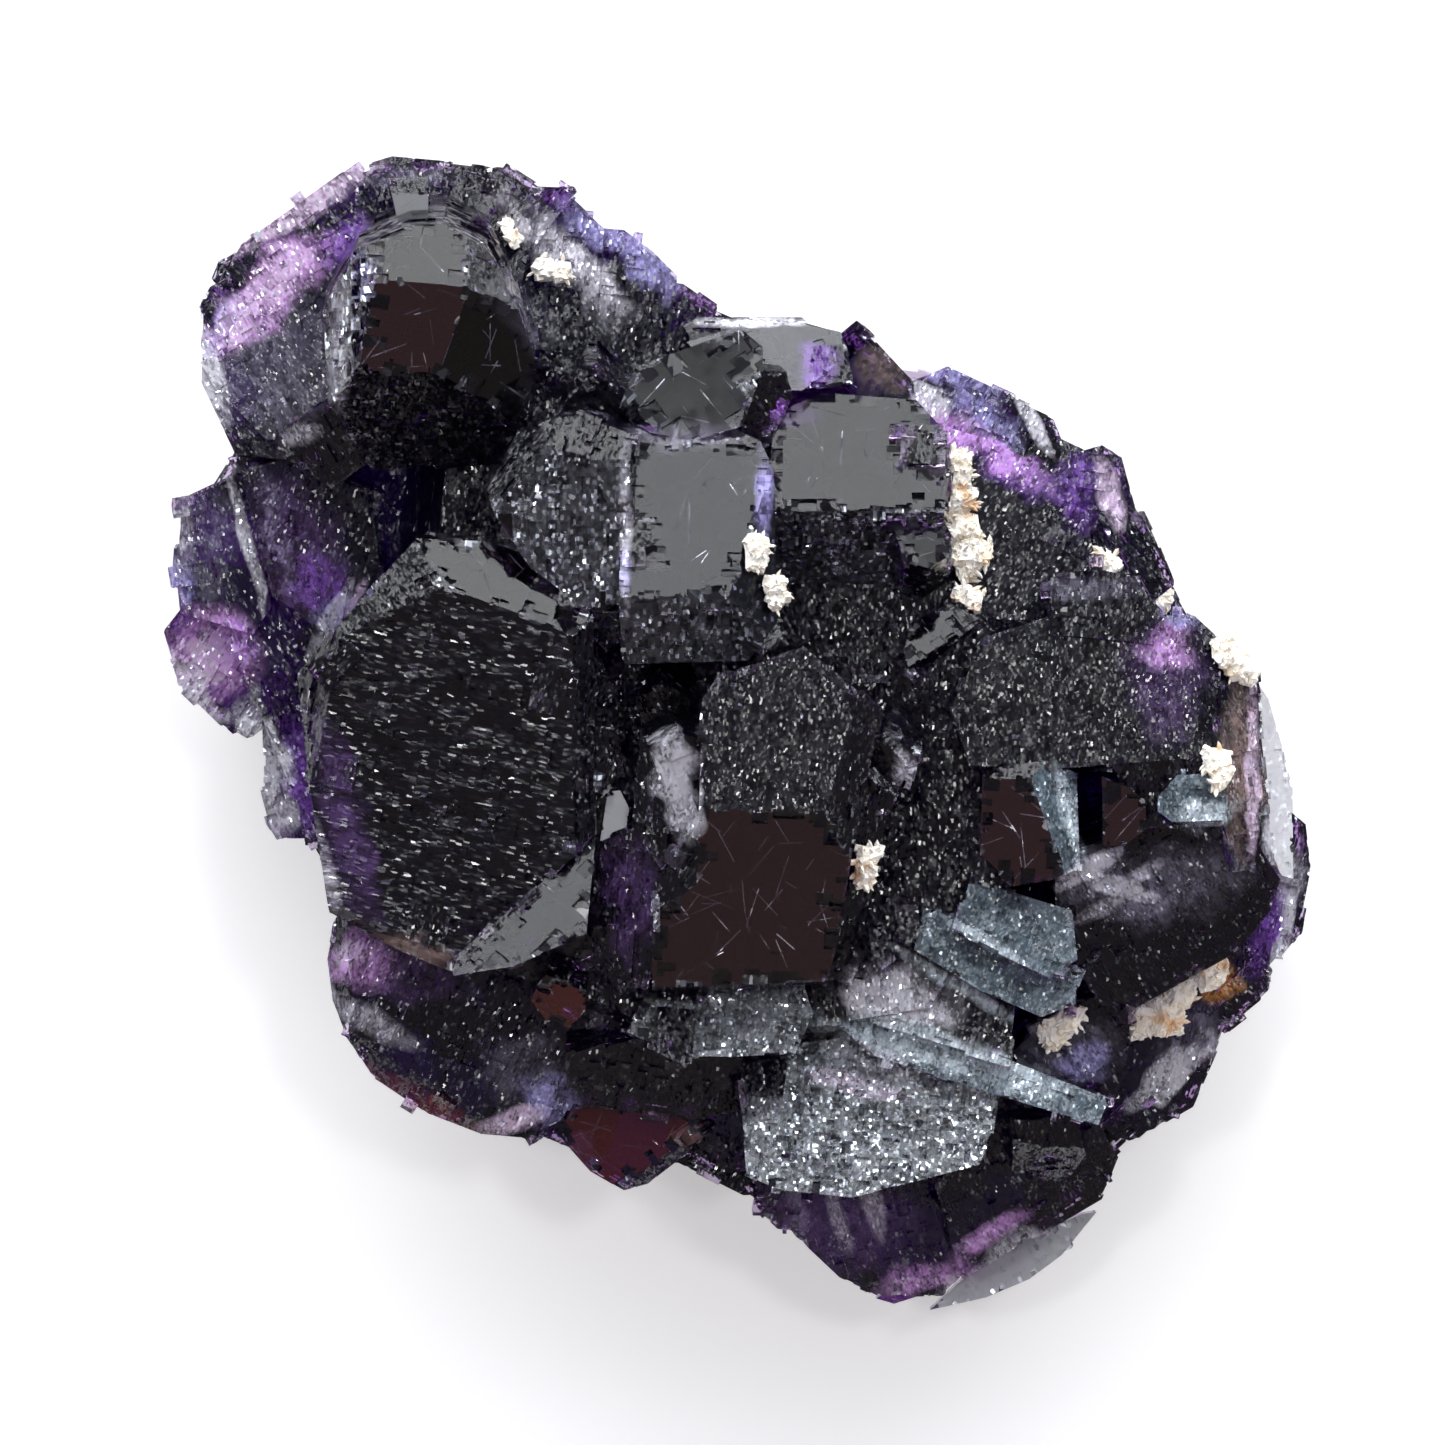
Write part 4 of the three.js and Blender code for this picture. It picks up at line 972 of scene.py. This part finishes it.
    def _cells(self, axis: int) -> list[float]:
        """The edges of the cells that the group is divided into along an axis, in metres."""
        low, high = (corner[axis] for corner in CAD_BOUNDS)
        return [low + (high - low) * number / self.cells for number in range(self.cells + 1)]

    def _split(self, mesh: bpy.types.Mesh) -> None:
        """Divides the faces of the mesh where they cross from one cell to the next."""
        with opened(mesh) as solid:
            for axis in (0, 1):
                across = Vector((float(axis == 0), float(axis == 1), 0.0))
                for edge in self._cells(axis)[1:-1]:
                    parts = [*solid.verts, *solid.edges, *solid.faces]
                    plane = {"plane_co": across * edge, "plane_no": across}
                    bmesh.ops.bisect_plane(solid, geom=parts, dist=1e-8, **plane)

    def _under(self, x: float, y: float) -> Any:
        """What a ray meets first that looks down at a place given in millimetres."""
        return self.tree.ray_cast(Vector((x * MM, y * MM, 1.0)), Vector((0.0, 0.0, -1.0)))

    def _height(self, x: float, y: float) -> float:
        """The height of the top of the group at a place given in millimetres, in metres."""
        hit = self._under(x, y)
        if hit[0] is None:
            hit = self.tree.find_nearest(Vector((x * MM, y * MM, CAD_BOUNDS[1][2] / 2)))
        return hit[0].z

    def _name_facets(self) -> None:
        """Gives the faces under the named places their kind."""
        for kind, places in NAMED_FACES.items():
            for place in places:
                self.facets[self.facet_of[self._under(*place)[2]]].kind = kind

    def _spots(self, facet: Facet, per_mm2: float) -> Iterator[Vector]:
        """Random points on a flat face, so many for each square millimetre."""
        count = whole(per_mm2 * facet.area / (MM * MM), self.rng)
        areas = [self.base.polygons[index].area for index in facet.triangles]
        for index in self.rng.choices(facet.triangles, weights=areas, k=count) if count else ():
            corners = self.base.polygons[index].vertices
            first, second, third = (self.base.vertices[corner].co for corner in corners)
            a, b = self.rng.random(), self.rng.random()
            if a + b > 1.0:
                a, b = 1.0 - a, 1.0 - b
            yield first + (second - first) * a + (third - first) * b

    def _edges(self) -> Iterator[tuple[Any, list[Facet]]]:
        """The solid's edges, each with the flat faces on its two sides."""
        with opened(self.base, keep=False) as solid:
            for edge in solid.edges:
                if len(edge.link_faces) == 2:
                    yield edge, [self.facets[self.facet_of[face.index]] for face in edge.link_faces]

    def _growth(self, facets: Sequence[Facet], proud: bool) -> Iterator[Block]:
        """Small steps in line with the crystals.

        Args:
            facets: the faces that they are on.
            proud: whether they stand on the faces or are cut into them.

        Yields:
            The blocks.
        """
        rng = self.rng
        for facet in facets:
            relief = facet.kind.value
            for point in self._spots(facet, relief.blocks if proud else relief.cuts):
                long = rng.uniform(*relief.long_mm) * MM
                wide = long * rng.uniform(*self.step_shape)
                deep = rng.uniform(*relief.deep_mm) * MM
                if facet.area < self.small_mm2 * MM * MM:
                    long, wide = long * self.small_step, wide * self.small_step
                tip = self.tip_per_lean * relief.lean
                lean = Matrix.Rotation(rng.uniform(-tip, tip), 3, facet.along)
                lean = lean @ Matrix.Rotation(rng.uniform(-tip, tip), 3, facet.axes[1])
                along, across, out = (lean @ axis for axis in facet.axes)
                if rng.random() < self.crosswise:
                    along, across = across, along
                height = self.step_root_mm * MM + deep if proud else (1.0 + self.cut_rise) * deep
                rise = deep * self.step_rise - height / 2 if proud else height / 2 - deep
                block = Block(point + out * rise, (along, across, out), (long, wide, height))
                if not proud or block.within(*CAD_BOUNDS):
                    yield block

    def _chips(self) -> Iterator[Block]:
        """Notches along the sharp edges.

        Yields:
            The blocks.
        """
        rng = self.rng
        sharp = math.radians(self.sharp_degrees)
        for edge, facets in self._edges():
            if not edge.is_convex or edge.calc_face_angle(0.0) < sharp:
                continue
            if any(facet.kind is Face.CUT for facet in facets):
                continue
            rough = max(1.0 - self.smooth_edge * facet.kind.value.polish for facet in facets)
            first, second = (vert.co for vert in edge.verts)
            inward = -(facets[0].normal + facets[1].normal).normalized()
            for _ in range(whole(self.chips_per_mm * rough * edge.calc_length() / MM, rng)):
                long = rng.uniform(*self.chip_mm) * MM
                size = (long, long * rng.uniform(*self.chip_wide), long * rng.uniform(*self.chip_thick))
                turn = rng.choice((-1.0, 1.0)) * rng.uniform(*self.chip_turn)
                lean = Matrix.Rotation(turn, 3, Vector((rng.random(), rng.random(), rng.random())))
                axes = tuple(lean @ axis for axis in facets[0].axes)
                middle = first.lerp(second, rng.random())
                yield Block(middle - inward * (min(size) * rng.uniform(0.0, self.chip_out)), axes, size)

    def _teeth(self) -> Iterator[Block]:
        """Small steps that make the rims of the smooth faces jagged where a rough face meets them.

        Yields:
            The blocks.
        """
        rng = self.rng
        for edge, facets in self._edges():
            rough, smooth = sorted(facets, key=lambda facet: facet.kind.value.polish)
            if rough.kind.value.polish >= self.smooth_polish:
                continue
            first, second = (vert.co for vert in edge.verts)
            inward = (second - first).cross(smooth.normal).normalized()
            side = next(face for face, facet in zip(edge.link_faces, facets) if facet is smooth)
            if inward.dot(side.calc_center_median() - first) < 0.0:
                inward = -inward
            for _ in range(whole(smooth.kind.value.teeth * edge.calc_length() / MM, rng)):
                long = rng.uniform(*self.tooth_mm) * MM
                wide = long * rng.uniform(*self.tooth_wide)
                deep = rng.uniform(*self.tooth_deep_mm) * MM
                middle = first.lerp(second, rng.random()) + inward * rng.uniform(*self.tooth_in_mm) * MM
                along, across, out = smooth.axes
                axes = (along, across, out) if rng.random() < 0.5 else (across, along, out)
                yield Block(middle, axes, (long, wide, deep))

    def _scratches(self) -> Iterator[Block]:
        """Fine scratches on the smooth faces.

        Yields:
            The blocks.
        """
        rng = self.rng
        for facet in self.facets:
            if facet.kind.value.polish < self.smooth_polish:
                continue
            for point in self._spots(facet, self.scratches_per_mm2):
                spin = Matrix.Rotation(rng.uniform(0.0, math.pi), 3, facet.normal)
                axes = (spin @ facet.along, spin @ facet.axes[1], facet.normal)
                long = rng.uniform(*self.scratch_mm) * MM
                wide = rng.uniform(*self.scratch_wide_mm) * MM
                yield Block(point, axes, (long, wide, 2 * self.scratch_deep_mm * MM))

    def _mark(self, mesh: bpy.types.Mesh) -> None:
        """Writes the crystal's own axes, the finish and the tint of each face as attributes of the mesh."""
        middles = self._numbers(mesh.polygons, "center", 3)
        normals = self._numbers(mesh.polygons, "normal", 3)
        nearest = np.array([self.tree.find_nearest(Vector(point))[2] for point in middles])
        numbers = np.array(self.facet_of)[nearest]
        frames = np.array([[tuple(axis) for axis in facet.axes] for facet in self.facets])
        kinds = [facet.kind.value for facet in self.facets]
        looks = np.array([(kind.lean, kind.polish, kind.spark) for kind in kinds])[numbers]
        tints = np.array([kind.tint.value for kind in kinds])[numbers]
        square = np.abs(np.einsum("nij,nj->ni", frames[numbers], normals)).max(axis=1)
        broken = square < math.cos(math.radians(self.broken_degrees))
        # Broken faces at chipped edges get a whitish tint: partly frosted fracture, partly a painted highlight
        # along the edges.
        tints[broken] += np.array(Tint.FROST.value) * self.broken_frost_and_highlight
        looks[broken] = self.broken_look
        levels = np.array([facet.level for facet in self.facets])[numbers]
        depth = levels - np.einsum("ni,ni->n", frames[numbers, 2], middles)
        smooth = looks[:, 1] >= self.smooth_polish
        etched = Face.ETCHED.value
        pits = smooth & (depth > self.pit_mm * MM)
        looks[pits] = (etched.lean, etched.polish, etched.spark)
        tints[pits] = etched.tint.value
        scratches = smooth & (depth > self.scratch_deep_mm * MM / 4) & ~pits
        looks[scratches] = self.scratch_look
        tints[scratches] += Tint.HAZE_AND_SHEEN.value

        corners = self._numbers(mesh.loops, "vertex_index", 1).astype(int).ravel()
        places = self._numbers(mesh.vertices, "co", 3)
        totals = self._numbers(mesh.polygons, "loop_total", 1).astype(int).ravel()
        owner = np.repeat(numbers, totals)
        grains = np.array([(*kind.grain_mm, kind.grain_mm[1]) for kind in kinds])[owner] * MM
        lattice = np.einsum("nij,nj->ni", frames[owner], places[corners]) / grains
        lattice = lattice + self.lattice_shift * owner[:, None]
        for name, domain, values in (
            ("finish", "FACE", looks),
            ("tint", "FACE", tints),
            ("lattice", "CORNER", lattice),
        ):
            mesh.attributes.new(name, "FLOAT_VECTOR", domain).data.foreach_set("vector", values.ravel())
        mesh.polygons.foreach_set("use_smooth", [False] * len(mesh.polygons))
        columns, rows = (np.searchsorted(self._cells(axis)[1:-1], middles[:, axis]) for axis in (0, 1))
        mesh.polygons.foreach_set("material_index", (rows * self.cells + columns).astype(np.int32))

    def _dress(self, mesh: bpy.types.Mesh, finish: FluoriteFinish) -> None:
        """Gives each cell of the group its material, which holds only the coloured places that reach it.

        Args:
            mesh: the finished mesh.
            finish: the crystal's finish.
        """
        mesh.materials.clear()
        wests, souths = self._cells(0), self._cells(1)
        for row, (south, north) in enumerate(zip(souths, souths[1:])):
            for column, (west, east) in enumerate(zip(wests, wests[1:])):
                near = [patch for patch in PATCHES if patch.near(west, south, east, north)]
                LOG.info("cell %d, %d: %d coloured places", column, row, len(near))
                places = [(patch, self._height(patch.x, patch.y)) for patch in near]
                mesh.materials.append(finish.material(f"cell_{column}_{row}", places))

    def _numbers(self, items: Any, name: str, width: int) -> np.ndarray:
        """A property of each of a mesh's parts, as rows of numbers."""
        kind = np.float32 if width == 3 else np.int32
        values = np.empty(len(items) * width, dtype=kind)
        items.foreach_get(name, values)
        return values.reshape(-1, width)


@dataclass
class CalciteCrusts:
    """The cream crusts: each packed lump grown over with blunt rhombs and pointed spars."""

    seed: int = 3
    lowest_facing: float = -0.1
    rhombs_per_mm2: float = 7.0
    rhomb_mm: Span = (0.16, 0.42)
    rhomb_wide: Span = (0.7, 1.0)
    rhomb_thick: Span = (0.6, 1.0)
    rhomb_sunk: float = 0.2
    spars_per_mm2: float = 2.5
    spar_mm: Span = (0.3, 0.65)
    spar_wide: Span = (0.16, 0.3)
    spar_lean: Span = (-0.7, 0.7)
    spar_lift: Span = (-0.2, 0.7)
    spar_root: float = 0.3
    spar_middle: float = 0.35
    spar_room: float = 1.4
    spar_rings: tuple[Span, ...] = ((0.0, 0.9), (0.55, 1.0))
    sides: int = 5
    rng: random.Random = field(init=False)

    def __post_init__(self) -> None:
        """Makes the source of random numbers."""
        self.rng = random.Random(self.seed)

    def build(self, finish: CalciteFinish) -> list[bpy.types.Object]:
        """Makes and dresses the crusts.

        Args:
            finish: their finish.

        Returns:
            The pieces, one for each packed crust.
        """
        material = finish.material()
        pieces = []
        for name in sorted(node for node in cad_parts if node.startswith("calcite_")):
            base = welded(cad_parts[name])
            piece = placed(name.replace("calcite", "crust"), base)
            for grown in (self._rhombs, self._spars):
                carve(piece, list(grown(base)), "UNION")
            keep_largest(piece)
            piece.data.materials.clear()
            piece.data.materials.append(material)
            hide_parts(name)
            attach(piece, "root")
            pieces.append(piece)
        return pieces

    def _feet(self, mesh: bpy.types.Mesh, per_mm2: float) -> Iterator[tuple[Vector, Vector]]:
        """Random points on the upper sides of a lump.

        Args:
            mesh: the welded lump.
            per_mm2: how many a square millimetre has.

        Yields:
            Each point, and the direction that the surface faces there.
        """
        for polygon in mesh.polygons:
            if polygon.normal.z < self.lowest_facing:
                continue
            points = [mesh.vertices[index].co for index in polygon.vertices]
            for _ in range(whole(per_mm2 * polygon.area / (MM * MM), self.rng)):
                weights = [self.rng.random() for _ in points]
                parts = (point * weight for point, weight in zip(points, weights))
                yield sum(parts, Vector()) / sum(weights), polygon.normal

    def _rhombs(self, mesh: bpy.types.Mesh) -> Iterator[Block]:
        """Small blunt crystals that make a lump granular."""
        rng = self.rng
        for foot, way in self._feet(mesh, self.rhombs_per_mm2):
            turn = rng.uniform(0.0, math.tau)
            spin = Matrix.Rotation(turn, 3, Vector((rng.random(), rng.random(), rng.random())))
            long = rng.uniform(*self.rhomb_mm) * MM
            size = (long, long * rng.uniform(*self.rhomb_wide), long * rng.uniform(*self.rhomb_thick))
            axes = tuple(spin @ Vector(axis) for axis in Matrix.Identity(3))
            yield Block(foot - way * long * self.rhomb_sunk, axes, size)

    def _spars(self, mesh: bpy.types.Mesh) -> Iterator[Spar]:
        """Pointed crystals that stand out of a lump."""
        rng = self.rng
        for foot, normal in self._feet(mesh, self.spars_per_mm2):
            lean = [rng.uniform(*span) for span in (self.spar_lean, self.spar_lean, self.spar_lift)]
            yield self._spar(foot, (normal + Vector(lean)).normalized())

    def _spar(self, foot: Vector, way: Vector) -> Spar:
        """One spar: a short shaft with a point at each end.

        Args:
            foot: the point that it grows from.
            way: the direction of its tip.

        Returns:
            The spar.
        """
        long = self.rng.uniform(*self.spar_mm) * MM
        wide = long * self.rng.uniform(*self.spar_wide)
        across = way.orthogonal().normalized()
        up = way.cross(across)
        turn = self.rng.uniform(0.0, math.tau)
        corners = [foot - way * long * self.spar_root]
        for height, width in self.spar_rings:
            for side in range(self.sides):
                angle = turn + math.tau * side / self.sides
                arm = across * math.cos(angle) + up * math.sin(angle)
                corners.append(foot + way * long * height + arm * wide * width)
        corners.append(foot + way * long)
        tip = len(corners) - 1
        faces: list[tuple[int, ...]] = []
        for side in range(self.sides):
            low, low_next = 1 + side, 1 + (side + 1) % self.sides
            high, high_next = low + self.sides, low_next + self.sides
            faces += [(0, low_next, low), (low, low_next, high_next, high), (high, high_next, tip)]
        size = (2 * wide, 2 * wide, self.spar_room * long)
        middle = foot + way * long * self.spar_middle
        return Spar(middle, (across, up, way), size, (corners, faces))


# Studio


@dataclass
class Studio:
    """The pale floor, the lights and the camera above the specimen."""

    floor_side: float = 4.0
    floor_glow: float = 0.4
    camera_height: float = 0.918
    frame_width: float = 1445 / 18 * MM
    sensor_mm: float = 36.0
    aim: Span = (-0.00077, 0.00069)
    lamps_aim: Point = (0.0, 0.0, 0.015)
    reference_height: float = 0.018
    brightest: float = 9.0
    bounces: int = 5

    def build(self) -> None:
        """Makes the floor, the world, the lights and the camera."""
        self._floor()
        self._world()
        self._lamp("lamp_east", (0.25, 0.14, 1.05), 0.10, 46.0)
        self._lamp("lamp_west", (-0.28, 0.06, 1.02), 0.09, 46.0)
        self._camera()
        scene = bpy.context.scene
        scene.view_settings.view_transform = "Standard"
        scene.cycles.max_bounces = self.bounces
        scene.cycles.transmission_bounces = self.bounces

    def _floor(self) -> None:
        """A pale floor that glows a little, as a lit sweep does."""
        half = self.floor_side / 2
        corners = [(-half, -half, 0.0), (half, -half, 0.0), (half, half, 0.0), (-half, half, 0.0)]
        mesh = bpy.data.meshes.new("floor")
        mesh.from_pydata(corners, [], [(0, 1, 2, 3)])
        floor = placed("floor", mesh)
        graph = Graph(bpy.data.materials.new("pale_sweep"))
        inputs = {
            "Base Color": rgba((0.82, 0.82, 0.82)),
            "Roughness": 0.9,
            "Emission Color": rgba((1.0, 1.0, 1.0)),
            "Emission Strength": self.floor_glow,
        }
        graph.output("Material", {"Surface": graph.principled(inputs)})
        mesh.materials.append(graph.owner)
        floor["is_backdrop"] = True

    def _world(self) -> None:
        """A room with a bright wide window to the north, dim overhead and warm to the south.

        The stops give the light by how far north its direction lies, from -1 at the south horizon to 1 at the
        north one, as a share of the brightest.
        """
        world = bpy.data.worlds.new("room")
        bpy.context.scene.world = world
        graph = Graph(world)
        north = graph.split(graph.node("TexCoord", {}, "Generated"))[1]
        stops = (
            (-1.0, (0.045, 0.042, 0.042)),
            (-0.80, (0.034, 0.028, 0.028)),
            (-0.40, (0.030, 0.025, 0.026)),
            (-0.15, (0.020, 0.019, 0.023)),
            (0.15, (0.020, 0.021, 0.026)),
            (0.32, (0.042, 0.044, 0.052)),
            (0.45, (0.085, 0.088, 0.098)),
            (0.555, (0.155, 0.157, 0.168)),
            (0.61, (0.36, 0.37, 0.39)),
            (0.72, (0.52, 0.53, 0.56)),
            (0.88, (0.58, 0.59, 0.61)),
            (1.0, (0.60, 0.60, 0.62)),
        )
        ramp = [((place + 1.0) / 2.0, colour) for place, colour in stops]
        shade = graph.node("ValToRGB", {0: (north + 1.0) * 0.5}, ramp=ramp)
        light = graph.node("Background", {"Color": shade, "Strength": self.brightest})
        graph.output("World", {"Surface": light})

    def _lamp(self, name: str, place: Point, side: float, glow: float) -> None:
        """A small square lamp that faces the specimen.

        Args:
            name: its name.
            place: its middle, in metres.
            side: its side, in metres.
            glow: its radiance.
        """
        light = bpy.data.lights.new(name, "AREA")
        light.shape = "SQUARE"
        light.size = side
        light.energy = glow * math.pi * side * side
        lamp = placed(name, light)
        lamp.location = place
        lamp.rotation_euler = (Vector(self.lamps_aim) - Vector(place)).to_track_quat("-Z", "Y").to_euler()
        lamp.visible_camera = False

    def _camera(self) -> None:
        """The camera straight above, as in the photograph."""
        data = bpy.data.cameras.new("camera")
        distance = self.camera_height - self.reference_height
        data.sensor_width = self.sensor_mm
        data.lens = self.sensor_mm * distance / self.frame_width
        data.clip_start = 0.05
        data.clip_end = 20.0
        camera = placed("camera", data)
        camera.location = (*self.aim, self.camera_height)
        camera.rotation_euler = (0.0, 0.0, 0.0)
        bpy.context.scene.camera = camera


def main() -> None:
    """Builds the group, the crusts and the studio."""
    logging.basicConfig(level=logging.INFO, format="%(message)s")
    crystals = CrystalGroup().build(FluoriteFinish())
    LOG.info("%s: %d faces", crystals.name, len(crystals.data.polygons))
    for crust in CalciteCrusts().build(CalciteFinish()):
        LOG.info("%s: %d faces", crust.name, len(crust.data.polygons))
    Studio().build()
    visual_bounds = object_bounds()
    boxes = {"cad": CAD_BOUNDS, "visual": visual_bounds}
    {key: [list(map(float, corner)) for corner in box] for key, box in boxes.items()}


if __name__ == "__main__":
    main()
